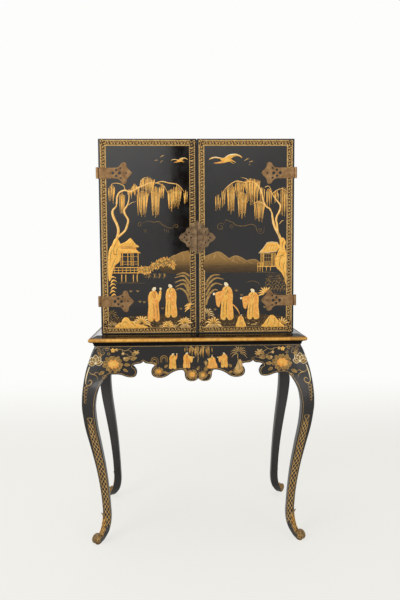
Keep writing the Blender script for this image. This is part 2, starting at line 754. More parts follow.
# %% Sizes of the hinges
STRAP_SHARES = [
    ((0.49, 0.49),), ((0.61, 0.5), (0.66, 0.74)), ((0.69, 0.98), (0.76, 1)), ((0.83, 1), (0.835, 0.74)),
    ((0.84, 0.5), (0.91, 0.33)), ((0.96, 0.2), (1, 0)),
]
STRAP_HOLE_SHARES = [
    (0.43, 0, 0.045), (0.63, 0, 0.045), (0.53, 0.27, 0.035), (0.66, 0.45, 0.028), (0.82, 0, 0.024)]
STRAP_NAIL_SHARES = [(0.09, 0.28), (0.3, 0.28), (0.78, 0.72), (0.93, 0)]
LEAF_NAILS = [(14, 11), (46, 11), (68, 0)]
HINGE_HEIGHT = 36
PLATE_THICKNESS = 2.2
STRAP_LENGTH = 113
STRAP_LOBES = 74
STRAP_RELIEF = 1
BARREL_RADIUS = 4.5
PIN_RADIUS = 2
PIN_HEAD = [(3.8, 0), (3.8, 0.7), (3.8 * 0.86, 1.3), (3.8 * 0.5, 1.7), (0, 1.8)]
KNUCKLE = 12
KNUCKLE_GAP = 0.3
KNUCKLE_EASE = 0.4
LEAF_LENGTH = 78
LEAF_POINT = 16
PLATE_EASE = 0.5
DOOR_EDGE = 0.5
HALF_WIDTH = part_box("cabinet_top")[1].x / MM
DOOR_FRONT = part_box("door_left")[0].y / MM
AXIS_OUT = 3.6
AXIS_X = HALF_WIDTH + AXIS_OUT
AXIS_Y = DOOR_FRONT - AXIS_OUT

# %% Straps


def knuckle(low, high):
    """A short tube with its ends eased."""
    outer, inner, ease = BARREL_RADIUS, PIN_RADIUS + KNUCKLE_GAP, KNUCKLE_EASE
    profile = [
        (inner, low), (outer - ease, low), (outer, low + ease), (outer, high - ease), (outer - ease, high),
        (inner, high)]
    return turned("knuckle", profile, BRASS, closed=True)


def strap_plate():
    half = STRAP_LOBES / 2
    start = (STRAP_RELIEF / STRAP_LENGTH, HINGE_HEIGHT / STRAP_LOBES)
    upper = [(x * STRAP_LENGTH, y * half) for x, y in half_outline(start, STRAP_SHARES)]
    holes = [ring_of((x * STRAP_LENGTH, y * half), size * STRAP_LENGTH)
             for x, y, size in both_sides(STRAP_HOLE_SHARES)]
    body = plate("strap_plate", with_mirror(upper), holes, PLATE_THICKNESS, PLATE_EASE, BRASS)
    spots = [(x * STRAP_LENGTH, y * half) for x, y in both_sides(STRAP_NAIL_SHARES)]
    return joined("strap_plate", body, nails(spots, PLATE_THICKNESS / 2))


def make_strap(side, level, height):
    name = f"hinge_strap_{side}_{level}"
    sign = SIGNS[side]
    turn = Matrix.Identity(4) if sign < 0 else Matrix.Rotation(math.pi, 4, "Z")
    edge = sign * (HALF_WIDTH - DOOR_EDGE)
    front = placed(strap_plate(), shift(edge, DOOR_FRONT - PLATE_THICKNESS / 2, height) @ UPRIGHT @ turn)
    barrel = placed(knuckle(-KNUCKLE / 2, KNUCKLE / 2), shift(sign * AXIS_X, AXIS_Y, height))
    near, far = sorted((edge - 2 * sign * STRAP_RELIEF, sign * AXIS_X - sign * PIN_RADIUS))
    tab = small_block("tab", (near, DOOR_FRONT - PLATE_THICKNESS, height - KNUCKLE / 2),
        (far, DOOR_FRONT, height + KNUCKLE / 2), BRASS)
    own(joined(f"{name}_finished", front, barrel, tab), f"{side}_door", "brass", name)

# %% Leaves and pins


def make_leaf(side, level, height):
    name = f"hinge_leaf_{side}_{level}"
    sign = SIGNS[side]
    half, shoulder = HINGE_HEIGHT / 2, LEAF_LENGTH - LEAF_POINT
    outline = [(0, -half), (shoulder, -half), (LEAF_LENGTH, 0), (shoulder, half), (0, half)]
    flat = plate("leaf_plate", outline, [], PLATE_THICKNESS, PLATE_EASE, BRASS)
    face = nails([(x, sign * y) for x, y in both_sides(LEAF_NAILS)], PLATE_THICKNESS / 2)
    if sign < 0:
        face.data.transform(Matrix.Scale(-1, 4, (0, 0, 1)))
        face.data.flip_normals()
    front = DOOR_FRONT + STRAP_RELIEF + DOOR_EDGE
    side_face = sign * (HALF_WIDTH + PLATE_THICKNESS / 2)
    pieces = [placed(joined("leaf", flat, face), shift(side_face, front, height) @ TO_SIDE @ UPRIGHT)]
    near, far = sorted((sign * HALF_WIDTH, sign * (HALF_WIDTH + PLATE_THICKNESS)))
    gap = KNUCKLE / 2 + KNUCKLE_GAP
    for low, high in ((-half, -gap), (gap, half)):
        pieces.append(placed(knuckle(low, high), shift(sign * AXIS_X, AXIS_Y, height)))
        pieces.append(small_block("leaf_tab", (near, AXIS_Y + PIN_RADIUS, height + low),
            (far, front + STRAP_RELIEF, height + high), BRASS))
    own(joined(f"{name}_finished", *pieces), "root", "brass", name)


def make_pin(side, level, height):
    name = f"hinge_pin_{side}_{level}"
    half = HINGE_HEIGHT / 2
    profile = [(0, -half), (PIN_RADIUS, -half), (PIN_RADIUS, half)] + [(r, half + h) for r, h in PIN_HEAD]
    pin = turned(f"{name}_finished", profile, BRASS)
    own(placed(pin, shift(SIGNS[side] * AXIS_X, AXIS_Y, height)), "root", "brass", name)


def middle_of(node, axis):
    low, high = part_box(node)
    return (low[axis] + high[axis]) / 2 / MM


for side in SIGNS:
    for level in ("upper", "lower"):
        centre = middle_of(f"hinge_strap_{side}_{level}", 2)
        make_strap(side, level, centre)
        make_leaf(side, level, centre)
        make_pin(side, level, centre)
print("hinges: 4, strap", STRAP_LENGTH, "mm long")

# %% [markdown]
# The two half plates meet at the doors' edges and read as one pierced, cusped diamond. Each has a
# keyhole with a raised rim round it, and nails in its points.

# %% Lock plates
LOCK_SHARES = [
    ((0.08, 0.84), (0.3, 0.78)), ((0.42, 0.72), (0.37, 0.57)), ((0.58, 0.58), (0.6, 0.47)),
    ((0.6, 0.36), (0.73, 0.27)), ((0.9, 0.22), (1, 0)),
]
LOCK_NAIL_SHARES = [(0.1, 0.72), (0.45, 0.5), (0.86, 0)]
LOCK_HOLE_SHARES = [
    (0.24, 0.58, 0.035), (0.44, 0.3, 0.045), (0.6, 0.17, 0.035), (0.7, 0, 0.04), (0.17, 0.36, 0.03),
    (0.3, 0.42, 0.028)]
LOCK_WIDTH = 126
LOCK_HEIGHT = 119
MEETING_GAP = 1.5
KEYHOLE_X = 22
KEYHOLE_RADIUS = 3.2
KEYHOLE_SLOT = 3.4
KEYHOLE_DROP = 7
KEYHOLE_STEPS = 22
RIM_WIDTH = 1.3
RIM_LIFT = 0.8
RIM_EASE = 0.4


def keyhole_outline(grow_by=0.0):
    radius, half = KEYHOLE_RADIUS + grow_by, KEYHOLE_SLOT / 2 + grow_by
    low = -math.acos(half / radius)
    turns = np.linspace(low, math.pi - low, KEYHOLE_STEPS)
    ring = [(KEYHOLE_X + radius * math.cos(t), radius * math.sin(t)) for t in turns]
    foot = -KEYHOLE_DROP - grow_by
    return ring + [(KEYHOLE_X - half, foot), (KEYHOLE_X + half, foot)]


def make_lock_plate(side):
    name = f"lock_plate_{side}"
    sign = SIGNS[side]
    wide, tall = LOCK_WIDTH / 2, LOCK_HEIGHT / 2
    upper = [(x * wide, y * tall) for x, y in half_outline((MEETING_GAP / LOCK_WIDTH, 1), LOCK_SHARES)]
    loops = (with_mirror(upper), keyhole_outline(), keyhole_outline(RIM_WIDTH))
    edge, hole, rim_edge = ([(sign * x, y) for x, y in loop] for loop in loops)
    pierced = [ring_of((sign * x * wide, y * tall), size * wide, 14) for x, y,
        size in both_sides(LOCK_HOLE_SHARES)]
    flat = plate("lock_flat", edge, [hole, *pierced], PLATE_THICKNESS, PLATE_EASE, LOCK_BRASS)
    rim = placed(plate("keyhole_rim", rim_edge, [hole], PLATE_THICKNESS, RIM_EASE, LOCK_BRASS),
        shift(0, 0, RIM_LIFT))
    spots = [(sign * x * wide, y * tall) for x, y in both_sides(LOCK_NAIL_SHARES)]
    whole = joined(f"{name}_finished", flat, rim, nails(spots, PLATE_THICKNESS / 2))
    placed(whole, shift(0, DOOR_FRONT - PLATE_THICKNESS / 2, middle_of(name, 2)) @ UPRIGHT)
    own(whole, f"{side}_door", "brass", name)


for side in SIGNS:
    make_lock_plate(side)
print("lock plates:", LOCK_WIDTH, "by", LOCK_HEIGHT, "mm as a pair")

# %% [markdown]
# ## Stand
# The aprons are sawn to their outline, the mouldings are a cove under a half-round, and each leg is
# a cabriole: a square section that swells at the knee and thins to the ankle along one double curve.

# %% Profile of the mouldings
MOULDING_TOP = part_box("stand_moulding_front")[1].z / MM
MOULDING_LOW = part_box("stand_moulding_front")[0].z / MM
COVE_HEIGHT = 12
COVE_STEP = 2
MOULDING_REACH = 19
MITRE_GAP = 0.3
DIRT_HEIGHT = 6
CORNER_START = 36
CORNER_STOP = 44
CORNER_SHADE = 0.72
FRAME_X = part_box("stand_moulding_front")[1].x / MM - MOULDING_REACH + MITRE_GAP / 2
FRAME_Y = -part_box("stand_moulding_front")[0].y / MM - MOULDING_REACH


def moulding_profile():
    """Outward reach and height, with the finish of the stretch that follows each point."""
    torus_half = (MOULDING_TOP - MOULDING_LOW - COVE_HEIGHT) / 2
    torus_reach = MOULDING_REACH / 2
    shoulder = MOULDING_REACH - torus_reach
    points = [(0, MOULDING_TOP, 0), (0, MOULDING_LOW, 0)]
    for turn in np.linspace(0, math.pi / 2, 9):
        out = COVE_STEP + (shoulder - COVE_STEP) * (1 - math.cos(turn))
        points.append((out, MOULDING_LOW + COVE_HEIGHT * math.sin(turn), 0))
    for turn in np.linspace(-math.pi / 2, math.pi / 2, 25)[1:]:
        height = MOULDING_TOP - torus_half + torus_half * math.sin(turn)
        points.append((shoulder + torus_reach * math.cos(turn), height, 1))
    return points

# %% Lofting


def loft(name, rings, materials, finish_at=None, smooth_angle=SOFT_ANGLE):
    """Rings of points, one after another, become a closed skin."""
    count = len(rings[0])
    faces, finish = [], []
    for i in range(len(rings) - 1):
        for k in range(count):
            after = (k + 1) % count
            faces.append((i * count + k, i * count + after, (i + 1) * count + after, (i + 1) * count + k))
            finish.append(finish_at[k] if finish_at else 0)
    last = (len(rings) - 1) * count
    faces += [tuple(range(count))[::-1], tuple(last + k for k in range(count))]
    points = [Vector(p) * MM for ring in rings for p in ring]
    return soften(solid(name, points, faces, materials, finish=finish + [0, 0]), smooth_angle)

# %% Gilding of the mouldings


def moulding_gold():
    """Water gilding with brown dirt held in the hollows above and below, and duller at the corners."""
    material = gilding("moulding_gilding", "#FFC765", "#E5A040", "#8E5224", 0.45, 0.36, -0.03)
    tree = material.node_tree
    shader = tree.nodes["Principled BSDF"]
    gold = shader.inputs["Base Color"].links[0].from_socket
    place = add(tree, "ShaderNodeTexCoord").outputs["Object"]
    x, _, z = add(tree, "ShaderNodeSeparateXYZ", {0: place}).outputs
    low = add(tree, "ShaderNodeMapRange", {
        "Value": z, "From Min": (MOULDING_LOW + COVE_HEIGHT) * MM,
        "From Max": (MOULDING_LOW + COVE_HEIGHT + DIRT_HEIGHT) * MM}, **SMOOTH)
    high = add(tree, "ShaderNodeMapRange", {
        "Value": z, "From Min": (MOULDING_TOP - DIRT_HEIGHT) * MM, "From Max": MOULDING_TOP * MM,
        "To Min": 1, "To Max": 0}, **SMOOTH)
    aside = add(tree, "ShaderNodeMath", {0: x}, operation="ABSOLUTE")
    corner = add(tree, "ShaderNodeMapRange", {
        "Value": aside, "From Min": (FRAME_X - CORNER_STOP) * MM, "From Max": (FRAME_X - CORNER_START) * MM,
        "To Min": 1, "To Max": CORNER_SHADE}, **SMOOTH)
    both = add(tree, "ShaderNodeMath", {0: low, 1: high}, operation="MULTIPLY")
    clean = add(tree, "ShaderNodeMath", {0: both, 1: corner}, operation="MULTIPLY")
    feed(tree, shader, {
        "Base Color": add(tree, "ShaderNodeMix", {0: clean, 6: "#573212", 7: gold}, data_type="RGBA")})
    return material


MOULDING_GOLD = moulding_gold()
# The lacquer of the hollow under the gilt round sees only its own shadow and old dust, so it is matt.
HOLLOW_BLACK = lacquer("hollow_lacquer", "#050403", "#0B0806", 0.5, 0.6, gloss=0.14, coat=0)

# %% Mouldings


def make_moulding(side):
    profile = moulding_profile()
    across_x = side in SIGNS
    sign = -1 if side in ("front", "left") else 1
    along, across = (FRAME_Y, FRAME_X) if across_x else (FRAME_X, FRAME_Y)
    rings = []
    for end in np.linspace(-1, 1, 9):
        ring = []
        for out, height, _ in profile:
            step, face = end * (along + out - MITRE_GAP / 2), sign * (across + out)
            ring.append((face, step, height) if across_x else (step, face, height))
        rings.append(ring)
    name = f"stand_moulding_{side}"
    finishes = [finish for _, _, finish in profile]
    piece = loft(f"{name}_finished", rings, [HOLLOW_BLACK, MOULDING_GOLD], finishes)
    own(piece, "root", "gilt_wood", name)


for side in ("front", "back", "left", "right"):
    make_moulding(side)
print("mouldings:", round(MOULDING_TOP - MOULDING_LOW, 1), "mm high")

# %% Aprons
APRON_DROP = 142
APRON_THICKNESS = 20
APRON_EASE = 1.2
LEG_POST = 50
EAR_DROP = 115
LEG_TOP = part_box("leg_front_left")[1].z / MM
SPAN_X, SPAN_Y = FRAME_X - LEG_POST, FRAME_Y - LEG_POST
INSET_X, INSET_Y = FRAME_X - APRON_THICKNESS / 2, FRAME_Y - APRON_THICKNESS / 2
FRONT_SHARES = [(0, 0.93), [
    ((0.026, 1), (0.072, 1)), ((0.151, 1), (0.154, 0.838)), ((0.154, 0.718), (0.19, 0.718)),
    ((0.262, 0.725), (0.325, 0.82)), ((0.375, 0.908), (0.43, 0.908)), ((0.531, 0.905), (0.531, 0.753)),
    ((0.531, 0.662), (0.492, 0.62)), ((0.498, 0.556), (0.551, 0.556)), ((0.603, 0.556), (0.62, 0.493)),
    ((0.636, 0.556), (0.682, 0.556)), ((0.725, 0.563), (0.738, 0.613)), ((0.692, 0.669), (0.692, 0.768)),
    ((0.695, 0.887), (0.754, 0.887)), ((0.807, 0.887), (0.852, 0.838)), ((0.882, 0.81), (0.93, 0.81)),
]]
SIDE_SHARES = [(0, 0.93), [
    ((0.05, 1), (0.137, 1)), ((0.286, 1), (0.292, 0.838)), ((0.292, 0.718), (0.35, 0.718)),
    ((0.44, 0.7), (0.47, 0.6)), ((0.49, 0.54), (0.53, 0.493)), ((0.57, 0.54), (0.59, 0.6)),
    ((0.61, 0.68), (0.61, 0.768)), ((0.615, 0.887), (0.7, 0.887)), ((0.79, 0.87), (0.85, 0.83)),
    ((0.89, 0.81), (0.95, 0.81)),
]]
BACK_SHARES = [(0, 0.472), [
    ((0.74, 0.472),), ((0.86, 0.472), (0.86, 0.64)), ((0.86, 0.81), (0.96, 0.81)),
]]


def apron_edge(shares, span):
    """The right half of the cut edge, from the middle out."""
    return [(x * span, LEG_TOP - y * APRON_DROP) for x, y in half_outline(*shares)]


def make_apron(side, shares, span, matrix):
    right = apron_edge(shares, span) + [(span, LEG_TOP - EAR_DROP), (span, LEG_TOP)]
    outline = [(-x, z) for x, z in right[:0:-1]] + right
    name = f"apron_{side}"
    piece = plate(f"{name}_finished", outline, [], APRON_THICKNESS, APRON_EASE, BLACK)
    own(placed(piece, matrix @ UPRIGHT), "root", "black_lacquer", name)


make_apron("front", FRONT_SHARES, SPAN_X, shift(0, -INSET_Y, 0))
make_apron("back", BACK_SHARES, SPAN_X, shift(0, INSET_Y, 0))
make_apron("left", SIDE_SHARES, SPAN_Y, shift(-INSET_X, 0, 0) @ TO_SIDE)
make_apron("right", SIDE_SHARES, SPAN_Y, shift(INSET_X, 0, 0) @ TO_SIDE)
print("aprons: 4, up to", APRON_DROP, "mm deep")

# %% [markdown]
# A leg follows stations up its height. At each, two shares say how far its outer corner stands out
# from the stand's corner and how thick it is. A cubic joins the stations, as a spline in a pattern
# maker's template does. The same formula later lets gilding be drawn straight on the leg's skin.

# %% Sections of a leg
KNEE_REACH = 42
THIGH = 46
KNEE_TURN = 130
EAR_HEIGHT = 47
PLAIN_TOP = 15
HEEL_RISE = 1
ANKLE = 180
STATIONS = [
    (0.0, 0.2, 0.24), (0.014, 0.1, 0.46), (0.035, -0.02, 0.6), (0.063, -0.22, 0.65), (0.112, -0.37, 0.62),
    (0.168, -0.36, 0.6), (0.252, -0.25, 0.62), (0.364, 0.01, 0.69), (0.476, 0.38, 0.79),
    (0.587, 0.77, 0.88), (0.671, 0.96, 0.94), (0.708, 1, 0.99), (0.755, 0.98, 1.09),
    (0.801, 0.9, 1.28), (0.843, 0.78, 1.4), (0.88, 0.63, 1.4), (0.916, 0.43, 1.4),
    (0.951, 0.22, 1.4), (0.979, 0, 1.4), (1, 0, 1.4),
]
OUTER_CORNER_SHARE = 0.2
INNER_CORNER_SHARE = 0.14
EAR_TOP = LEG_TOP - EAR_DROP


def between(column, height):
    """A smooth value between stations, whose slope at each is that of its neighbours."""
    last = len(STATIONS) - 1
    i = next((k for k in range(1, last + 1) if STATIONS[k][0] >= height), last)

    def slope(k):
        before, after = STATIONS[max(k - 1, 0)], STATIONS[min(k + 1, last)]
        return (after[column] - before[column]) / (after[0] - before[0])

    low, high = STATIONS[i - 1], STATIONS[i]
    gap = high[0] - low[0]
    t = (height - low[0]) / gap
    value = (2 * t ** 3 - 3 * t ** 2 + 1) * low[column] + (t ** 3 - 2 * t ** 2 + t) * gap * slope(i - 1)
    return value + (3 * t ** 2 - 2 * t ** 3) * high[column] + (t ** 3 - t ** 2) * gap * slope(i)


def leg_numbers(z):
    """At a height: the reach of the outer corner, the inner corner, the face's inner end, the side."""
    height = z / LEG_TOP
    out = 0 if z >= LEG_TOP - PLAIN_TOP else between(1, height) * KNEE_REACH
    side = between(2, height) * THIGH
    climb = min(max((z - (EAR_TOP - EAR_HEIGHT)) / EAR_HEIGHT, 0), 1)
    rounded = 1 - math.sqrt(1 - climb * climb)
    inner = (out - side) * (1 - rounded) - LEG_POST * rounded
    t = min(max((z - (EAR_TOP - KNEE_TURN)) / KNEE_TURN, 0), 1)
    turn = t * t * (3 - 2 * t)
    face = out * (1 - turn * (1 - (inner + LEG_POST) / (out + LEG_POST)))
    return out, inner, face, side


def leg_skin(z):
    """The outer path of a section, from the front's inner end round the corner to the flank's."""
    out, inner, face, side = leg_numbers(z)
    corner = np.array((out, out))
    ends = [np.array((inner, face)), np.array((face, inner))]
    radius = min(side, THIGH) * OUTER_CORNER_SHARE
    toward = [corner + (end - corner) / np.linalg.norm(end - corner) * radius for end in ends]
    front = [ends[0] + (toward[0] - ends[0]) * t for t in (0, 0.25, 0.5, 0.75)]
    flank = [toward[1] + (ends[1] - toward[1]) * t for t in (0.25, 0.5, 0.75, 1)]
    return np.array(front + bent(toward[0], corner, toward[1], 8) + flank)


def leg_ring(z):
    _, inner, _, side = leg_numbers(z)
    chamfer = min(side, THIGH) * INNER_CORNER_SHARE
    start, end = np.array((inner + chamfer, inner)), np.array((inner, inner + chamfer))
    return [*leg_skin(z), *bent(start, np.array((inner, inner)), end, 4)]

# %% A place on a leg's skin


def leg_place(sign_x, sign_y, arc, z, lift):
    """A point on a leg's skin. Arc is the distance from the outer corner's middle: less is front."""
    path = leg_skin(z)
    steps = np.linalg.norm(np.diff(path, axis=0), axis=1)
    travelled = np.concatenate(([0], np.cumsum(steps)))
    at = min(max(travelled[8] + arc, 0), travelled[-1])
    i = min(int(np.searchsorted(travelled, at, side="right")) - 1, len(steps) - 1)
    direction = (path[i + 1] - path[i]) / steps[i]
    point = path[i] + (path[i + 1] - path[i]) * (at - travelled[i]) / steps[i]
    point = point + np.array((-direction[1], direction[0])) * lift
    return sign_x * (FRAME_X + point[0]), sign_y * (FRAME_Y + point[1]), z

# %% Cabriole legs


def leg_heights():
    plain, ear = LEG_TOP - PLAIN_TOP, EAR_TOP - EAR_HEIGHT
    spans = ((HEEL_RISE, ANKLE, 34), (ANKLE, ear, 44), (ear, EAR_TOP, 24), (EAR_TOP, plain, 24))
    return [*(z for low, high, count in spans for z in np.linspace(low, high, count, endpoint=False)),
            plain, LEG_TOP]


CORNERS = {"front_left": (-1, -1), "front_right": (1, -1), "back_left": (-1, 1), "back_right": (1, 1)}
leg_rings = [(z, leg_ring(z)) for z in leg_heights()]
for corner, (sign_x, sign_y) in CORNERS.items():
    rings = [[(sign_x * (FRAME_X + p), sign_y * (FRAME_Y + q), z) for p, q in ring] for z, ring in leg_rings]
    own(loft(f"leg_{corner}_finished", rings, [STAND_BLACK]), "root", "black_lacquer", f"leg_{corner}")
print("legs: section at the ankle", round(leg_numbers(100)[3], 1), "mm")

# %% [markdown]
# ## Raised gilding
# The pictures stand a little proud of the lacquer, because the gold lies on strokes of gesso. So
# they are real relief here: a stroke is a low ridge that thins to its ends, and a filled shape is a
# pillow with a crisp edge. Both are drawn flat in millimetres, across and up, and a last step lays
# them on a door, an apron or the curved skin of a leg.

# %% Lines and outlines
SUNK = 0.3
EDGE_STEP = 0.14
START_SHARE = 0.3
END_SHARE = 0.45
STROKE_SECTION = [(-1, -0.05), (-0.55, 0.9), (0.55, 0.9), (1, -0.05), (0, -1)]


def through(points, steps=5, closed=False):
    """A smooth line through points: Catmull and Rom's spline."""
    p = np.array(points, float)
    if len(p) < 3:
        return p
    before, after = (p[-1], p[:2]) if closed else (2 * p[0] - p[1], (2 * p[-1] - p[-2])[None])
    padded = np.vstack((before[None], p, after))
    spans = len(p) if closed else len(p) - 1
    t = np.linspace(0, 1, steps, endpoint=False)[:, None]
    line = []
    for i in range(spans):
        a, b, c, d = padded[i:i + 4]
        line.append(0.5 * (2 * b + (c - a) * t + (2 * a - 5 * b + 4 * c - d) * t ** 2
                           + (3 * b - a - 3 * c + d) * t ** 3))
    if not closed:
        line.append(p[-1:])
    return np.vstack(line)


def normals(line):
    """The unit direction to the left of a line, at each of its points."""
    tangent = np.gradient(line, axis=0)
    tangent /= np.maximum(np.linalg.norm(tangent, axis=1), 1e-9)[:, None]
    return np.column_stack((-tangent[:, 1], tangent[:, 0]))


def distances(points, outline):
    """Each point's distance to a closed outline."""
    start, end = outline, np.roll(outline, -1, axis=0)
    along = end - start
    length = np.maximum((along ** 2).sum(1), 1e-9)
    rel = points[:, None] - start[None]
    t = np.clip((rel * along).sum(2) / length, 0, 1)
    return np.linalg.norm(rel - along * t[..., None], axis=2).min(1)


def within(points, outline):
    """Which points lie inside a closed outline."""
    a, b = outline, np.roll(outline, -1, axis=0)
    rise = b[:, 1] - a[:, 1]
    rise[np.abs(rise) < 1e-9] = 1e-9
    crosses = (a[:, 1] > points[:, None, 1]) != (b[:, 1] > points[:, None, 1])
    x = a[:, 0] + (points[:, None, 1] - a[:, 1]) / rise * (b[:, 0] - a[:, 0])
    return (crosses & (points[:, None, 0] < x)).sum(1) % 2 == 1

# %% The relief drawing


class Relief:
    """Strokes and filled shapes of one finish, drawn flat in millimetres."""

    def __init__(self):
        self.points = []
        self.faces = []

    def shell(self, points, faces):
        start = len(self.points)
        self.points.extend(points)
        self.faces.extend(tuple(start + i for i in face) for face in faces)

    def stroke(self, path, width, rise=0.45, ends=(0.35, 0.1), base=0.0, steps=5):
        """A ridge along a path. Ends are its width at start and end, as shares."""
        line = through(path, steps)
        normal = normals(line)
        share = np.linspace(0, 1, len(line))
        swell = np.minimum(1, ends[0] + (1 - ends[0]) * share / START_SHARE)
        swell = swell * np.minimum(1, ends[1] + (1 - ends[1]) * (1 - share) / END_SHARE)
        rings = []
        for place, side, h, s in zip(line, normal, width * swell / 2, swell):
            top = rise * min(1, 0.4 + 0.6 * s)
            for across, up in STROKE_SECTION:
                u, v = place + side * across * h
                rings.append((u, v, base + up * (top if up > 0 else SUNK)))
        count, size = len(line), len(STROKE_SECTION)
        faces = [(i * size + k, (i + 1) * size + k, (i + 1) * size + (k + 1) % size,
            i * size + (k + 1) % size) for i in range(count - 1) for k in range(size)]
        faces.append(tuple(range(size)))
        faces.append(tuple((count - 1) * size + k for k in reversed(range(size))))
        self.shell(rings, faces)

    def fill(self, outline, rise=0.8, edge=2.5, base=0.0, grid=2.4, steps=4):
        """A pillow inside an outline: a small step at its edge, then a round climb to its rise."""
        line = through(outline, steps, closed=True) if steps > 1 else np.array(outline, float)
        area = np.sum(line[:, 0] * np.roll(line[:, 1], -1) - np.roll(line[:, 0], -1) * line[:, 1])
        if area < 0:
            line = line[::-1]
        low, high = line.min(0), line.max(0)
        across = np.arange(low[0], high[0], grid)
        up = np.arange(low[1], high[1], grid * 0.87)
        cells = np.array([(x + (k % 2) * grid / 2, y) for k, y in enumerate(up) for x in across])
        if len(cells):
            cells = cells[within(cells, line)]
        if len(cells):
            cells = cells[distances(cells, line) > grid * 0.45]
        flat = [Vector(p) for p in (*line, *cells)]
        verts, _, faces, *_ = geometry.delaunay_2d_cdt(flat, [], [list(range(len(line)))], 1, 1e-4)
        places = np.array([tuple(v) for v in verts])
        faces = [tuple(f) for f in faces if len(f) == 3]
        edges = dict.fromkeys((f[k], f[(k + 1) % 3]) for f in faces for k in range(3))
        near = np.minimum(distances(places, line) / edge, 1)
        height = EDGE_STEP + (rise - EDGE_STEP) * np.sqrt(1 - (1 - near) ** 2)
        n = len(places)
        points = [(x, y, base + h) for (x, y), h in zip(places, height)]
        points += [(x, y, base - SUNK) for x, y in places]
        shell = faces + [(n + c, n + b, n + a) for a, b, c in faces]
        shell += [(b, a, n + a, n + b) for a, b in edges if (b, a) not in edges]
        self.shell(points, shell)

    def dot(self, u, v, radius, rise=0.6, base=0.0):
        """A small round bead."""
        outer = ring_of((u, v), radius, 10)
        inner = ring_of((u, v), radius * 0.6, 10)
        points = [(x, y, base - SUNK) for x, y in outer] + [(x, y, base + 0.05) for x, y in outer]
        points += [(x, y, base + rise * 0.85) for x, y in inner] + [(u, v, base + rise)]
        faces = [tuple(range(10))[::-1]]
        for k in range(10):
            after = (k + 1) % 10
            faces += [(k, after, 10 + after, 10 + k), (10 + k, 10 + after, 20 + after, 20 + k),
                      (20 + k, 20 + after, 30)]
        self.shell(points, faces)

    def place(self, name, skin, material, body):
        """Lays the drawing on a skin and makes it a piece that rides on a body."""
        if not self.faces:
            return
        points = np.array([skin(u, v, lift) for u, v, lift in self.points])
        volume = 0.0
        for face in self.faces:
            first = points[face[0]]
            for b, c in zip(face[1:-1], face[2:]):
                volume += first.dot(np.cross(points[b], points[c]))
        faces = [face[::-1] for face in self.faces] if volume < 0 else self.faces
        mesh = bpy.data.meshes.new(name)
        mesh.from_pydata(points * MM, [], faces)
        mesh.materials.append(material)
        mesh.shade_smooth()
        mesh.set_sharp_from_angle(angle=SOFT_ANGLE)
        own(add_object(name, mesh), body, "gilt_wood")

# %% A drawing in every finish
PAINTS = {
    "gilt": GILT, "dull": DULL, "border": BORDER, "robe": ROBE, "cream": CREAM, "ink": INK, "dust": DUST}


class Palette(dict):
    """One drawing in each finish, all laid on the same skin. p.gilt and p["gilt"] are the same one."""

    def __init__(self):
        super().__init__({name: Relief() for name in PAINTS})

    def __getattr__(self, name):
        return self[name]

    def place(self, prefix, skin, body):
        for name, drawing in self.items():
            drawing.place(f"{prefix}_{name}", skin, PAINTS[name], body)
        print(prefix, "relief:", sum(len(drawing.faces) for drawing in self.values()), "faces")


def moved(points, x, z, size=1.0, flip=1):
    """Points in their own small frame, scaled, mirrored if flip is -1, and set at a place."""
    return [(x + flip * u * size, z + v * size) for u, v in points]

# %% [markdown]
# ## Motifs
# Japanners worked from a small stock of motifs: cranes, willows, rocks, pavilions on stilts, ferns,
# peonies and robed figures. Each is a function here, so a scene reads like a list of what is in it.

# %% Birds


def crane(p, x, z, size, flip):
    """A flying crane, its beak towards -u before it is flipped."""

    def at(points):
        return moved(points, x, z, size, flip)

    p.gilt.stroke(at([(-63, -1), (-55, 4), (-40, 8), (-22, 6), (-8, 1)]), 5.4 * size, 0.7, (0.15, 1))
    p.gilt.fill(at([(-18, 2), (-4, 7), (8, 7), (20, 3), (28, -3), (16, -8), (0, -10), (-12, -6)]), 1.1)
    p.gilt.fill(at([(-4, 4), (8, 15), (28, 21), (44, 22), (60, 15), (66, 6), (52, 13), (38, 12), (26, 6),
        (14, 0)]), 0.9)
    p.cream.stroke(at([(-60, 2), (-42, 9), (-22, 7), (-4, 4)]), 2.2 * size, 0.3, (0.3, 0.3), base=0.6)
    p.cream.stroke(at([(0, 6), (12, 16), (30, 20), (46, 19), (60, 12)]), 3.2 * size, 0.3, (0.4, 0.2),
        base=0.8)
    p.robe.fill(at([(-2, -3), (-20, -8), (-44, -13), (-30, -15), (-8, -13), (8, -9)]), 0.9)
    p.gilt.stroke(at([(20, -2), (32, -6), (42, -13)]), 4 * size, 0.6, (1, 0.2))
    p.gilt.stroke(at([(16, -6), (26, -11), (34, -17)]), 2.6 * size, 0.5, (1, 0.2))
    for k in range(5):
        start = (14 + 8 * k, 5 + 2.4 * k)
        p.ink.stroke(at([start, (start[0] + 5, start[1] + 5), (start[0] + 8, start[1] + 8)]), 1.0 * size,
            0.25, (0.6, 0.2), base=0.8)
    for k in range(4):
        p.ink.stroke(at([(-8 - 8 * k, -6 - k), (-12 - 8 * k, -11 - 0.6 * k)]), 0.9 * size, 0.25, base=0.7)


def small_bird(p, x, z, size, tilt=0.0):
    points = [(-8, -1 - 4 * tilt), (-2, 1), (3, 1 + 3 * tilt), (8, 4 * tilt)]
    p.border.stroke(moved(points, x, z, size), 2.4 * size)
    p.border.stroke(moved([(-3, 1), (2, 4), (7, 5)], x, z, size), 1.4 * size)

# %% Sprigs, tufts and palms


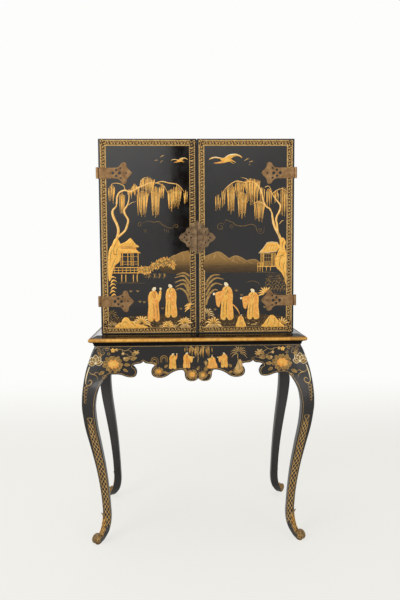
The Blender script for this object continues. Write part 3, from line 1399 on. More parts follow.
def sprig(p, root, tip, leaves, size, bend=0.15, paint="gilt", width=1.0):
    """A stem from root to tip with leaves in pairs."""
    drawing = p[paint]
    root, tip = np.array(root, float), np.array(tip, float)
    along = tip - root
    side = np.array((-along[1], along[0]))
    middle = (root + tip) / 2 + side * bend
    drawing.stroke([root, middle, tip], width, 0.35, (1, 0.4))
    for k in range(leaves):
        t = (k + 1) / (leaves + 0.4)
        base = (1 - t) ** 2 * root + 2 * t * (1 - t) * middle + t * t * tip
        reach = size * (1.1 - 0.5 * t)
        turn = math.atan2(along[1], along[0]) + (0.75 if k % 2 else -0.75)
        end = base + reach * np.array((math.cos(turn), math.sin(turn)))
        half = (base + end) / 2 + side / max(np.linalg.norm(side), 1e-6) * reach * 0.12 * (1 if k % 2 else -1)
        drawing.stroke([base, half, end], reach * 0.36, 0.45, (0.3, 0.05))


def tuft(p, x, z, height, spread, blades, paint="gilt", width=2.0):
    """Blades that fan up from one root."""
    for k in range(blades):
        lean = (k / max(blades - 1, 1) * 2 - 1)
        reach = height * (1 - 0.35 * abs(lean))
        end = (x + spread * lean, z + reach)
        middle = (x + spread * lean * 0.35, z + reach * 0.6)
        p[paint].stroke([(x + lean * 1.5, z), middle, end], width, 0.45, (0.8, 0.08))


def palm(p, x, z, radius, leaves=9, width=4.2, paint="gilt", start=-8, stop=188, sag=0.22):
    """Broad leaves that spring from one root and droop at their tips."""
    for k in range(leaves):
        turn = math.radians(start + (stop - start) * k / (leaves - 1))
        reach = radius * (0.93 + 0.07 * math.cos(2.2 * k))
        c, s = math.cos(turn), math.sin(turn)
        middle = (x + 0.62 * reach * c, z + reach * (0.66 * s + 0.3 * sag))
        tip = (x + reach * c, z + reach * (s - sag))
        p[paint].stroke([(x + 0.16 * reach * c, z + 0.16 * reach * s), middle, tip], width, 0.6,
            (0.15, 0.3))
        if width > 4:
            p.cream.stroke([(x + 0.5 * reach * c, z + 0.52 * reach * s), middle,
                (x + 0.9 * reach * c, z + reach * (0.9 * s - 0.6 * sag))], width * 0.2, 0.2, (0.3, 0.3),
                base=0.5, steps=3)

# %% Flowers and leaves


def blossom(p, x, z, radius, petals=5, paint="gilt", heart="robe"):
    for k in range(petals):
        turn = 2 * math.pi * k / petals + 0.3
        tip = (x + radius * math.cos(turn), z + radius * math.sin(turn))
        middle = (x + radius * 0.55 * math.cos(turn), z + radius * 0.55 * math.sin(turn))
        p[paint].stroke([(x, z), middle, tip], radius * 0.75, 0.5, (0.3, 0.45))
    p[heart].dot(x, z, radius * 0.28, 0.9)


def peony(p, x, z, radius):
    """A full flower: outlined outer petals on thin gold, then two rings of bright ones."""
    draw = np.random.default_rng(int(abs(x) * 7 + z))

    def at(turn, across, up):
        return x + radius * across * math.cos(turn), z + radius * up * math.sin(turn)

    def petal(turn, reach, along, across):
        c, s = math.cos(turn), math.sin(turn)
        cx, cz = x + reach * c, z + reach * 0.8 * s
        turns = np.linspace(0, 2 * math.pi, 9, endpoint=False)
        return [(cx + along * c * math.cos(a) - across * s * math.sin(a),
                 cz + along * s * math.cos(a) + across * c * math.sin(a)) for a in turns]

    for k in range(13):
        turn = 2 * math.pi * (k + draw.uniform(-0.2, 0.2)) / 13
        shape = petal(turn, radius * draw.uniform(0.6, 0.8), radius * 0.3, radius * 0.17)
        lift = 0.25 * (k % 2)
        p.dull.fill(shape, 0.4 + lift, 2, steps=2, grid=4)
        p.border.stroke(shape + shape[:1], max(radius * 0.036, 0.8), 0.35, (1, 1), base=0.2 + lift, steps=2)
        for lean in (-0.16, 0.16):
            path = [at(turn + lean, 0.45, 0.42), at(turn, 0.8, 0.72)]
            p.border.stroke(path, 0.8, 0.2, (0.6, 0.2), base=0.45, steps=2)
    for count, reach, size, paint, base in ((8, 0.38, 0.17, "robe", 0.5), (5, 0.19, 0.18, "gilt", 1.0)):
        for k in range(count):
            turn = 2 * math.pi * (k + draw.uniform(-0.2, 0.2)) / count + 0.4
            shape = petal(turn, radius * reach, radius * size, radius * size * 0.9)
            p[paint].fill(shape, 0.9, 2, base=base, steps=2, grid=4)
            c, s = math.cos(turn), math.sin(turn)
            out = radius * reach
            vein = [(x + out * 0.6 * c, z + out * 0.6 * s), (x + out * 1.2 * c, z + out * 1.1 * s)]
            p.ink.stroke(vein, 0.8, 0.2, base=base + 0.8, steps=2)


def leaf(p, x, z, length, turn, paint="border"):
    """A broad leaf: an outline and veins over thin gold."""
    c, s = math.cos(turn), math.sin(turn)

    def at(u, v):
        return (x + u * c - v * s, z + u * s + v * c)

    width = length * 0.26
    shape = [at(0, 0), at(length * 0.3, width), at(length * 0.65, width * 0.8), at(length, 0),
             at(length * 0.65, -width * 0.8), at(length * 0.3, -width)]
    p.dull.fill(shape, 0.5, 1.8, grid=4, steps=2)
    drawing = p[paint]
    drawing.stroke(shape + shape[:1], max(length * 0.06, 0.9), 0.3, (1, 1), base=0.35, steps=2)
    drawing.stroke([at(0, 0), at(length * 0.5, width * 0.08), at(length, 0)], 1.0, 0.25, base=0.45, steps=2)


def plumes(p, paths, width=7.4):
    """Nested plumes that sweep up and over: broad and dull, with fine light lines along them."""
    for path in paths:
        p.dull.stroke(path, width, 0.5, (0.9, 0.3), steps=7)
        for share in (-0.28, 0.3):
            line = through(path, 5)
            offset = normals(line) * share * width * np.linspace(0.9, 0.2, len(line))[:, None]
            p.border.stroke(line + offset, 1.2, 0.25, (0.4, 0.4), base=0.42, steps=1)

# %% Land and water


def cloud(p, points, paint="dull"):
    """A scalloped outline of mist, thin and dull."""
    p[paint].stroke(points, 1.6, 0.25, (0.3, 0.3))


def curl(p, x, z, radius, turns=1.3, flip=1, paint="gilt", width=1.4, start=0.0):
    """A spiral stroke that winds in."""
    angles = np.linspace(0, 2 * math.pi * turns, int(9 * turns) + 2)
    path = []
    for a in angles:
        reach = radius * (1 - 0.8 * a / angles[-1])
        path.append((x + flip * reach * math.cos(a + start), z + reach * math.sin(a + start)))
    p[paint].stroke(path, width, 0.4, (0.5, 0.6), steps=3)


def hill(p, crest, low, folds=(), base=0.0):
    """A far hill in sprinkled gold, with a fine light crest and a few lines for its folds."""
    p.dust.fill(list(crest) + [(crest[-1][0], low), (crest[0][0], low)], 0.3, 1.2, base, grid=5, steps=3)
    p.border.stroke(crest, 1.6, 0.35, (0.5, 0.5), base=base + 0.2)
    for fold in folds:
        p.border.stroke(fold, 1.4, 0.25, (0.6, 0.1), base=base + 0.27)


def ground_lines(p, left, right, z, rows, seed, paint="dull"):
    """Short level strokes of gold, as sprinkled ground and water are drawn."""
    draw = np.random.default_rng(seed)
    for row in range(rows):
        level = z - row * 4.2
        at = left + draw.uniform(0, 8)
        while at < right - 8:
            length = draw.uniform(9, 30)
            end = min(at + length, right)
            p[paint].stroke([(at, level), ((at + end) / 2, level + draw.uniform(-1, 1)), (end, level)],
                draw.uniform(0.8, 1.6), 0.25, (0.3, 0.2), steps=3)
            at = end + draw.uniform(3, 12)


def speckle(p, left, right, low, high, count, seed, paint="dull", size=1.1):
    """Sprinkled gold: small flat beads at random, thicker towards the foot."""
    draw = np.random.default_rng(seed)
    for _ in range(count):
        x, z = draw.uniform(left, right), low + (high - low) * draw.uniform(0, 1) ** 1.6
        p[paint].dot(x, z, size * draw.uniform(0.5, 1.1), 0.3)


def thicket(p, crest, depth, count, seed):
    """A bank in leaf: many short strokes that spring from under a crest line."""
    draw = np.random.default_rng(seed)
    line = through(crest, 6)
    low = line.copy()
    low[:, 1] -= depth * (0.6 + 0.4 * np.sin(np.linspace(0, math.pi, len(line))))
    p.dull.fill(list(line[::3]) + list(low[::-3]), 0.7, 3, grid=3.4, steps=2)
    for k in range(count):
        i = int(draw.uniform(1, len(line) - 1))
        share = draw.uniform(0, 1.15)
        x, z = line[i] + (low[i] - line[i]) * share
        turn = math.radians(draw.uniform(15, 150) if share < 0.6 else draw.uniform(215, 325))
        reach = draw.uniform(5, 10)
        paint = ("gilt", "border", "robe", "gilt", "robe", "gilt")[k % 6]
        p[paint].stroke([(x, z), (x + reach * 0.6 * math.cos(turn), z + reach * 0.5 * math.sin(turn)),
            (x + reach * math.cos(turn), z + reach * math.sin(turn))], draw.uniform(1.8, 3.0), 0.5,
            (0.5, 0.1), base=0.45, steps=3)


def rock(p, outline, veins, paint="gilt"):
    """A rock: a bright pillow with ink cracks."""
    p[paint].fill(outline, 1.3, 5, grid=3.2)
    for vein in veins:
        p.ink.stroke(vein, 1.9, 0.25, (0.5, 0.2), base=1.2)


def grass(p, x, z, size=1.0, paint="dull"):
    tuft(p, x, z, 7 * size, 6 * size, 4, paint, 1.0)

# %% Robed figures
FIGURE_ROBES = {
    "stands": [
        (0.0, 0.85), (-0.07, 0.83), (-0.115, 0.74), (-0.135, 0.6), (-0.13, 0.42), (-0.145, 0.2),
        (-0.15, 0.06), (-0.1, 0.0), (-0.04, 0.01), (-0.01, 0.08), (0.03, 0.01), (0.09, 0.0),
        (0.15, 0.05), (0.15, 0.2), (0.13, 0.42), (0.14, 0.6), (0.12, 0.74), (0.07, 0.83)],
    "kneels": [
        (0.0, 0.8), (-0.14, 0.72), (-0.2, 0.52), (-0.3, 0.3), (-0.36, 0.08), (-0.2, 0.0),
        (0.1, 0.02), (0.34, 0.02), (0.36, 0.2), (0.26, 0.45), (0.2, 0.7), (0.08, 0.8)],
}
FIGURE_SLEEVES = {
    "raises": [
        (-0.06, 0.78), (-0.1, 0.7), (-0.13, 0.75), (-0.15, 0.83), (-0.19, 0.86), (-0.2, 0.77),
        (-0.18, 0.63), (-0.13, 0.54), (-0.08, 0.62)],
    "reaches": [
        (-0.02, 0.78), (-0.12, 0.74), (-0.22, 0.71), (-0.27, 0.67), (-0.26, 0.52), (-0.24, 0.38),
        (-0.18, 0.33), (-0.14, 0.46), (-0.06, 0.62)],
    "folds": [
        (0.06, 0.74), (-0.04, 0.72), (-0.12, 0.66), (-0.11, 0.56), (-0.02, 0.5), (0.08, 0.56),
        (0.11, 0.66)],
}
FIGURE_LINING = [
    (0.02, 0.8), (0.1, 0.78), (0.12, 0.6), (0.11, 0.42), (0.12, 0.2), (0.12, 0.06), (0.03, 0.06), (0.02, 0.4)]
HEAD_HEIGHTS = {"stands": 0.915, "kneels": 0.88}
FIGURE_HANDS = {"raises": (-0.18, 0.9), "reaches": (-0.3, 0.66), "folds": (-0.04, 0.62)}
FIGURE_FOLDS = [
    [(0.0, 0.83), (-0.04, 0.74), (-0.03, 0.62)], [(0.06, 0.8), (0.01, 0.72), (-0.03, 0.62)],
    [(-0.07, 0.48), (-0.09, 0.28), (-0.09, 0.06)], [(0.0, 0.5), (-0.01, 0.3), (-0.01, 0.1)],
    [(0.07, 0.48), (0.09, 0.28), (0.1, 0.06)],
]

# %% Drawing a figure


def oval(u, v, across, up, count=12):
    return [(u + across * math.cos(a), v + up * math.sin(a))
            for a in np.linspace(0, 2 * math.pi, count, endpoint=False)]


def figure(p, x, z, height, flip=1, stance="stands", sleeve="folds", robe="robe", hat="knot", broad=1.0):
    """A robed figure that looks towards -u. The face is a plain calm oval with a few fine strokes."""

    def at(points):
        return moved([(u * broad, v) for u, v in points], x, z, height, flip)

    p[robe].fill(at(FIGURE_ROBES[stance]), 1.2, 3)
    lining = "gilt" if robe == "robe" else "robe"
    p[lining].fill(at(FIGURE_LINING), 0.8, 2, base=0.7)
    p[lining].fill(at(FIGURE_SLEEVES[sleeve]), 0.9, 2.5, base=0.8)
    squash = 1.0 if stance == "stands" else 0.9
    for fold in FIGURE_FOLDS:
        p.ink.stroke(at([(u, v * squash) for u, v in fold]), max(height * 0.013, 0.7), 0.3, (0.5, 0.2),
            base=1.2)
    p.robe.stroke(at([(-0.12, 0.52 * squash), (0.0, 0.49 * squash), (0.12, 0.52 * squash)]),
        max(height * 0.022, 0.9), 0.4, (0.8, 0.8), base=1.2)
    head_z = HEAD_HEIGHTS[stance]
    p.cream.fill(at(oval(-0.008, head_z - 0.005, 0.056, 0.07)), 1.7, 2.2, grid=1.8, steps=2)
    hair = [(0.0, head_z + 0.032), (-0.052, head_z + 0.04), (-0.045, head_z + 0.075), (0.0, head_z + 0.09),
            (0.045, head_z + 0.07), (0.066, head_z + 0.02), (0.056, head_z - 0.035), (0.028, head_z - 0.01)]
    p.ink.fill(at(hair), 0.6, 1.0, base=1.7, grid=1.8, steps=2)
    if hat == "cap":
        p.gilt.fill(at([(-0.045, head_z + 0.05), (-0.02, head_z + 0.1), (0.03, head_z + 0.1),
            (0.05, head_z + 0.05)]), 0.8, 1.2, base=1.4, grid=1.8, steps=2)
    else:
        p.ink.dot(*at([(0.02, head_z + 0.09)])[0], height * 0.02, 1.6)
    fine = max(height * 0.006, 0.35)
    for v in (0.012, -0.03):
        p.ink.stroke(at([(-0.04, head_z + v), (-0.026, head_z + v + 0.002), (-0.012, head_z + v)]), fine,
            0.15, (0.6, 0.6), base=1.65)
    hand = FIGURE_HANDS[sleeve]
    p.cream.fill(at(oval(hand[0], hand[1], 0.026, 0.034, 8)), 0.9, 1.5, base=0.95, grid=1.8, steps=2)

# %% [markdown]
# Willow leaves are the kind of thing nodes are for: a few strands are drawn as lines, and the tree
# sets a small leaf every few millimetres, turned to the strand and leaned to either side by chance.

# %% Willow leaves by Geometry Nodes
LEAF_SIZE = (6.2, 1.7, 0.35)
LEAF_STEP = 4.4
LEAF_LEAN = 0.3


def leaf_mesh():
    """A small leaf that hangs down from the origin, for flat work that faces -Y."""
    length, width, rise = LEAF_SIZE
    points = [
        (0, SUNK, 0), (-width / 2, SUNK, -length * 0.4), (width / 2, SUNK, -length * 0.4),
        (0, SUNK, -length), (0, -rise, -length * 0.4), (0, -rise * 0.7, -length * 0.12),
        (0, -rise * 0.7, -length * 0.8)]
    faces = [
        (0, 5, 1), (1, 5, 4), (1, 4, 6), (1, 6, 3), (0, 2, 5), (5, 2, 4), (4, 2, 6), (6, 2, 3), (0, 1, 3, 2)]
    return solid("willow_leaf", [Vector(p) * MM for p in points], faces)


def spaced(tree, given):
    """Points at an even step along the seeds' lines."""
    curve = add(tree, "GeometryNodeMeshToCurve", {"Mesh": given[0]})
    return add(tree, "GeometryNodeResampleCurve", {"Curve": curve, "Length": given["Step"]}, mode="LENGTH")


def leaf_tree():
    tree, keys, given, end = geometry_tree(
        "willow_leaves", Leaf="Object", Step="Float", Lean="Float", Seed="Int", Material="Material")
    spots = spaced(tree, given)
    tangent = add(tree, "GeometryNodeInputTangent")
    down = add(tree, "ShaderNodeVectorMath", {0: tangent, "Scale": -1}, operation="SCALE")
    follow = add(tree, "FunctionNodeAlignRotationToVector", {"Vector": down}, axis="Z", pivot_axis="Y")
    low = add(tree, "ShaderNodeMath", {0: given["Lean"], 1: -1}, operation="MULTIPLY")
    lean = add(tree, "FunctionNodeRandomValue", {2: low, 3: given["Lean"], "Seed": given["Seed"]},
        data_type="FLOAT")
    turn = add(tree, "ShaderNodeCombineXYZ", {1: lean})
    spin = add(tree, "FunctionNodeEulerToRotation", {0: turn})
    both = add(tree, "FunctionNodeRotateRotation", {0: follow, 1: spin}, rotation_space="LOCAL")
    size = add(tree, "FunctionNodeRandomValue", {2: 0.7, 3: 1.15, "Seed": given["Seed"]}, data_type="FLOAT")
    shape = add(tree, "GeometryNodeObjectInfo", {"Object": given["Leaf"]}, transform_space="ORIGINAL")
    set_on(tree, given, end, {
        "Points": spots, "Instance": shape.outputs["Geometry"], "Rotation": both, "Scale": size})
    return tree, keys


WILLOW = leaf_tree()

# %% Hanging the leaves


def willow_leaves(name, strands, face_y, body, material, seed):
    """Strands are lists of points in x and z. They become leaves on a flat face."""
    seeds, edges = [], []
    for strand in strands:
        line = through(strand, 4)
        start = len(seeds)
        seeds.extend((u, face_y, v) for u, v in line)
        edges.extend((start + k, start + k + 1) for k in range(len(line) - 1))
    shape = leaf_mesh()
    piece = grow(name, seeds, edges, WILLOW, Leaf=shape, Step=LEAF_STEP * MM, Lean=LEAF_LEAN, Seed=seed,
        Material=material)
    bpy.data.objects.remove(shape)
    print(name, "leaves:", len(piece.data.polygons) // 9)
    own(piece, body, "gilt_wood")


def hanging(clusters, seed, sway=2.5, gap=3.9):
    """Strands for clusters given as left, right, top and bottom. They gather to points as they fall."""
    draw = np.random.default_rng(seed)
    strands = []
    for left, right, top, bottom in clusters:
        count = max(2, int((right - left) / gap))
        for k in range(count):
            share = (k + 0.5) / count
            x = left + share * (right - left)
            crown = 1 - (2 * share - 1) ** 2
            start = top - (1 - crown) * 12 + draw.uniform(-3, 3)
            end = bottom + (1 - crown) * 14 + (k % 3) * draw.uniform(4, 12) + draw.uniform(-4, 4)
            if start - end < 10:
                continue
            pull = (0.5 - share) * (right - left) * 0.12
            bend = draw.uniform(-sway, sway) * 0.5
            strands.append([(x - pull, start), (x + bend, (start + end) / 2), (x + pull + bend, end)])
    return strands

# %% [markdown]
# ## Feet and ankles
# Each leg ends in a scroll, turned like a drum that lies across the toe, with a spiral cut on each
# end. A carved leaf lies over the ankle and curls outward at its tip, and both are gilt.

# %% Foot scrolls
SCROLL_RADIUS = 18
SCROLL_WAIST = 16.6
SCROLL_HALF = 9
SCROLL_HEIGHT = 17.4
SCROLL_REACH = 2
DISC_RADIUS = 14.6
DISC_SUNK = 1.4
SPIRAL_TURNS = 1.75


def scroll_profile():
    """Radius and place along the axis, from one end's middle to the other's."""
    half = [
        (0, DISC_SUNK), (DISC_RADIUS, DISC_SUNK), (DISC_RADIUS + 0.6, 0.2), (SCROLL_RADIUS - 1.4, 0),
        (SCROLL_RADIUS - 0.3, 0.5), (SCROLL_RADIUS, 1.6), (SCROLL_RADIUS - 0.5, 3.4), (SCROLL_WAIST, 6)]
    ends = [(r, back - SCROLL_HALF) for r, back in half]
    return ends + [(SCROLL_WAIST - 0.2, 0)] + [(r, -h) for r, h in reversed(ends)]


def make_scroll(corner):
    sign_x, sign_y = CORNERS[corner]
    drum = turned(f"foot_scroll_{corner}", scroll_profile(), BRONZE)
    axis = Vector((-sign_y, sign_x, 0)).normalized()
    across = Vector((sign_x, sign_y, 0)).normalized()
    centre = Vector((sign_x * (FRAME_X + SCROLL_REACH), sign_y * (FRAME_Y + SCROLL_REACH), SCROLL_HEIGHT))
    lay = Matrix((across, Vector((0, 0, 1)), axis)).transposed().to_4x4()
    placed(drum, Matrix.Translation(centre * MM) @ lay)
    for vert in drum.data.vertices:
        vert.co.z = max(vert.co.z, 0)
    own(drum, "root", "gilt_wood")
    spiral = []
    for t in np.linspace(0, 1, 26):
        reach, turn = (DISC_RADIUS - DISC_SUNK) * (1 - 0.8 * t), 2 * math.pi * SPIRAL_TURNS * t
        spiral.append((reach * math.cos(turn), reach * math.sin(turn)))
    for end, side in ((-1, "inner"), (1, "outer")):
        def disc(u, v, lift, end=end):
            return centre + across * u + Vector((0, 0, v)) + axis * end * (SCROLL_HALF - DISC_SUNK + lift)
        carving = Relief()
        carving.stroke(spiral, 2.6, 1.3, (0.6, 0.6), steps=2)
        carving.dot(0, 0, 3, 1.8)
        carving.place(f"foot_spiral_{corner}_{side}", disc, BORDER, "root")

# %% Leaves carved over the ankles
ANKLE_LOW = 22
ANKLE_TIP = 108
ANKLE_STEPS = 30
ANKLE_ACROSS = 17
LEAF_HALF_WIDTH = 15.5
LEAF_THICK = 1.5
TIP_CURL = 8


def leaf_half(t):
    """Half the leaf's width, from its root at 0 to its tip at 1."""
    return LEAF_HALF_WIDTH * math.sqrt(max(1 - t ** 2.2, 0.04))


def ankle_leaf(corner):
    """A scalloped leaf on the outer corner, ribbed on the slant, whose tip curls away."""
    signs = CORNERS[corner]
    outward = Vector((*signs, 0)).normalized()
    rows = []
    for i in range(ANKLE_STEPS + 1):
        t = i / ANKLE_STEPS
        z = ANKLE_LOW + (ANKLE_TIP - ANKLE_LOW) * t
        half = leaf_half(t) * (1 + 0.09 * math.sin(11 * math.pi * t))
        top, under = [], []
        for k in range(ANKLE_ACROSS):
            s = 2 * k / (ANKLE_ACROSS - 1) - 1
            vein = math.exp(-(s / 0.1) ** 2)
            rib = 0.5 + 0.5 * math.cos(2 * math.pi * (t * 5.5 + abs(s) * 0.9))
            rise = LEAF_THICK * math.sqrt(max(1 - s * s, 0)) * (0.7 + 0.5 * rib) + 0.7 * vein
            curl_out = outward * TIP_CURL * max(t - 0.72, 0) ** 1.6 / 0.28 ** 1.6
            drop = -3 * max(t - 0.9, 0) / 0.1
            place = Vector(leg_place(*signs, s * half, z, rise))
            low = Vector(leg_place(*signs, s * half, z, -1.2))
            top.append(place + curl_out + Vector((0, 0, drop)))
            under.append(low + curl_out * 0.9 + Vector((0, 0, drop - 1)))
        rows.append(top + under[::-1])
    name = f"ankle_leaf_{corner}"
    own(loft(name, rows, [BRONZE], smooth_angle=math.radians(50)), "root", "gilt_wood")


def leaf_ribs(corner):
    """Bright ribs that run down to the leaf's middle, with brown hollows between them."""
    p = Palette()
    for k in range(8):
        top = 88 - 9 * k
        edge = 0.8 * leaf_half((top - ANKLE_LOW) / (ANKLE_TIP - ANKLE_LOW))
        fall = min(30, top - ANKLE_LOW - 1)
        for side in (-1, 1):
            path = [(side * edge, top), (side * edge * 0.6, top - 0.45 * fall), (side * 2, top - fall)]
            if k % 2:
                p.ink.stroke(path, 2.0, 0.5, (0.4, 0.3), base=1.1)
            else:
                p.gilt.stroke(path, 2.8, 1.6, (0.3, 0.4), base=1.0)
    p.place(f"ankle_ribs_{corner}", lambda *spot: leg_place(*CORNERS[corner], *spot), "root")


for corner in CORNERS:
    make_scroll(corner)
    ankle_leaf(corner)
    leaf_ribs(corner)
print("feet:", len(CORNERS), "scrolls and ankle leaves")

# %% [markdown]
# ## Skins
# A skin takes a point drawn flat, with its lift, to its place on the object. The door's is a plane.
# The stand's front runs from the apron's plane on to the bulging legs without a step.

# %% Where the drawings lie


def door_skin(x, z, lift):
    return x, DOOR_FRONT - lift, z


def bulge(along, z):
    """How far the stand's skin stands out at a distance along it, measured from the stand's corner."""
    out, inner, face, side = leg_numbers(z)
    share = min(max((along - inner) / (out - inner), 0), 1)
    radius = min(side, THIGH) * OUTER_CORNER_SHARE
    bend = 1 - math.sqrt(min(max((out - along) / radius, 0), 1)) if along > out - radius else 0
    return face + (out - face) * share - radius * bend ** 2


def stand_front(x, z, lift):
    reach = bulge(abs(x) - FRAME_X, z) if abs(x) > SPAN_X or z < EAR_TOP else 0
    return x, -FRAME_Y - reach - lift, z


def stand_side(sign):
    def skin(y, z, lift):
        reach = bulge(abs(y) - FRAME_Y, z) if abs(y) > SPAN_Y or z < EAR_TOP else 0
        return sign * (FRAME_X + reach + lift), y, z
    return skin


def cabinet_side(sign):
    return lambda y, z, lift: (sign * (HALF_WIDTH + lift), y, z)

# %% [markdown]
# ## Borders
# Both doors have the same painted border: a thin gilt band with raised edges, and a leaf in brown ink
# that runs along it. The leaf is drawn once, and Geometry Nodes repeats it along the frame's path and
# turns it at the corners.

# %% Running border by Geometry Nodes
BORDER_STEP = 21
BORDER_BAND = 18
DOOR_MARGIN = 7.5
MEETING_MARGIN = 7
TOP_MARGIN = 5
STILE_WIDTH = 40
STILE_LEAF_SIZE = 1.25
BORDER_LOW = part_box("door_left")[0].z / MM + TOP_MARGIN
BORDER_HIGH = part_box("door_left")[1].z / MM - TOP_MARGIN
BORDER_LEAVES = (
    ([(-9.8, 6.0), (-7.8, 0.6), (-4.8, -6.0)], 5.2), ([(-4.2, 6.4), (-2.6, 3.6), (-1.8, 1.0)], 4.0),
    ([(-0.6, -6.2), (1.8, -1), (2.4, 6.0)], 5.0), ([(4.6, -6.4), (6.0, -3.6), (5.8, -1.0)], 4.0),
    ([(5.6, 1.4), (7.4, 3.2), (9.2, 6.2)], 3.8), ([(9.6, -1.8), (10.4, -3.8), (9.6, -6.4)], 3.2))
BORDER_BUDS = ((-5.2, 3.2), (4.4, -0.2), (-2.8, -3.4), (10.4, 2.2), (7.6, -2.2))


def motif_object(name, drawing):
    """A drawing as a small object that faces -Y, for a node tree to repeat."""
    obj = solid(name, [Vector((x, -lift, z)) * MM for x, z, lift in drawing.points], drawing.faces)
    obj.data.shade_smooth()
    return obj


def border_motifs():
    """One repeat, along x: ink leaves of two sizes that lean both ways, and small gilt buds."""
    ink, pale = Relief(), Relief()
    for path, width in BORDER_LEAVES:
        ink.stroke(path, width, 0.22, (0.6, 0.45), base=0.3, steps=3)
    for x, z in BORDER_BUDS:
        pale.stroke([(x - 1.5, z - 1.2), (x, z), (x + 1.4, z + 1.5)], 2.2, 0.35, (0.4, 0.4), 0.28, 2)
    return motif_object("border_ink", ink), motif_object("border_pale", pale)


def border_tree():
    tree, keys, given, end = geometry_tree(
        "running_border", Motif="Object", Step="Float", Size="Float", Normal="Vector", Material="Material")
    spots = spaced(tree, given)
    tangent = add(tree, "GeometryNodeInputTangent")
    back = add(tree, "ShaderNodeVectorMath", {0: given["Normal"], "Scale": -1}, operation="SCALE")
    flat = add(tree, "FunctionNodeAlignRotationToVector", {"Vector": back}, axis="Y")
    turn = add(tree, "FunctionNodeAlignRotationToVector", {"Rotation": flat, "Vector": tangent},
        axis="X", pivot_axis="Y")
    shape = add(tree, "GeometryNodeObjectInfo", {"Object": given["Motif"]}, transform_space="ORIGINAL")
    set_on(tree, given, end, {
        "Points": spots, "Instance": shape.outputs["Geometry"], "Rotation": turn, "Scale": given["Size"]})
    return tree, keys


RUNNING = border_tree()

# %% Laying the border


def bordered(name, skin, low, high, band, body, normal):
    """A gilt band just inside a rectangle, with raised edges and a running leaf in ink."""
    low, high = np.array(low, float), np.array(high, float)
    ground, lines = Relief(), Relief()
    sides = []
    for inset in (0, band):
        a, b = low + inset, high - inset
        sides.append([(a[0], a[1]), (b[0], a[1]), (b[0], b[1]), (a[0], b[1])])
    for k in range(4):
        after = (k + 1) % 4
        ground.fill([sides[0][k], sides[0][after], sides[1][after], sides[1][k]], 0.3, 0.5, steps=1, grid=30)
        for loop in sides:
            start, stop = np.array(loop[k]), np.array(loop[after])
            path = [start + (stop - start) * s for s in np.linspace(0, 1, 8)]
            lines.stroke(path, 1.5, 0.35, (1, 1), base=0.2, steps=1)
    ground.place(f"{name}_ground", skin, BORDER, body)
    lines.place(f"{name}_lines", skin, BORDER, body)
    a, b = low + band / 2, high - band / 2
    corners = [(a[0], a[1]), (a[0], b[1]), (b[0], b[1]), (b[0], a[1]), (a[0], a[1])]
    for motif, material in zip(border_motifs(), (INK, GILT)):
        pieces = []
        for start, stop in zip(corners, corners[1:]):
            stile = material is INK and -STILE_WIDTH < min(start[0], stop[0]) and max(start[0], stop[0]) < 0
            pieces.append(grow(
                f"{name}_run", [skin(*start, 0), skin(*stop, 0)], [(0, 1)], RUNNING, Motif=motif,
                Step=BORDER_STEP * MM, Size=STILE_LEAF_SIZE if stile else 1.0, Normal=normal,
                Material=material))
        whole = joined(f"{name}_{motif.name}", *pieces)
        own(whole, body, "gilt_wood")
        bpy.data.objects.remove(motif)
    print(name, "border:", len(whole.data.polygons), "pale faces")


for side, sign in SIGNS.items():
    near, far = sorted((sign * MEETING_MARGIN, sign * (HALF_WIDTH - DOOR_MARGIN)))
    bordered(f"border_{side}", door_skin, (near, BORDER_LOW), (far, BORDER_HIGH), BORDER_BAND,
        f"{side}_door", (0, -1, 0))

# %% [markdown]
# ## The doors' pictures
# Each door has a crane over a willow, a pavilion by water with a rock, far hills, robed figures and
# broad ferns, with a rock, a bush and grass along the foot. The two pictures answer each other.

# %% Trunks and fronds of the left willow
WILLOW_TRUNKS_LEFT = [
    [(-277, 1058), (-270, 1080), (-269, 1098), (-274, 1115), (-284, 1136), (-288, 1152), (-285, 1163),
     (-275, 1174), (-272, 1189)],
    [(-273, 1182), (-272, 1192), (-271, 1206), (-262, 1221), (-244, 1228), (-226, 1223), (-200, 1236),
     (-178, 1245), (-161, 1252), (-140, 1252)],
    [(-140, 1252), (-118, 1257), (-96, 1252), (-70, 1248), (-55, 1237), (-44, 1222)],
    [(-272, 1068), (-256, 1082), (-246, 1092), (-239, 1108), (-235, 1128), (-244, 1145), (-248, 1161),
     (-239, 1174), (-233, 1189), (-231, 1206), (-233, 1222)],
    [(-244, 1228), (-248, 1243), (-266, 1251), (-285, 1250), (-294, 1238)],
    [(-193, 1240), (-190, 1256), (-180, 1268), (-168, 1272)],
    [(-140, 1252), (-120, 1247), (-108, 1236), (-102, 1222)],
    [(-233, 1178), (-222, 1186), (-208, 1190)],
]
WILLOW_FRONDS_LEFT = [
    (-300, -278, 1246, 1186), (-264, -244, 1218, 1146), (-216, -190, 1245, 1208), (-203, -166, 1226, 1140),
    (-156, -127, 1242, 1138), (-128, -110, 1248, 1198), (-100, -76, 1232, 1158), (-80, -53, 1244, 1166),
    (-46, -32, 1226, 1176), (-190, -144, 1272, 1212), (-236, -212, 1232, 1200), (-224, -196, 1246, 1214),
]

# %% A willow


def willow(p, name, trunks, fronds, body, seed, width_of_strand=2.6):
    for path, width in zip(trunks, (8.4, 5.6, 3.4, 6.4, 2.8, 2.8, 2.4, 2.2, 2.2)):
        p.gilt.stroke(path, width, 0.9, (1, 0.35), steps=4)
        line = np.array(path, float)
        p.cream.stroke(line + (-0.2 * width, 0), width * 0.22, 0.3, (0.6, 0.3), base=0.7, steps=4)
    strands = hanging(fronds, seed)
    for k, strand in enumerate(strands):
        paint = ("gilt", "border", "gilt", "gilt")[k % 4]
        p[paint].stroke(strand, width_of_strand, 0.35, (0.5, 0.12), steps=3)
    willow_leaves(name, strands, DOOR_FRONT - 0.25, body, GILT, seed)

# %% The left door's pavilion


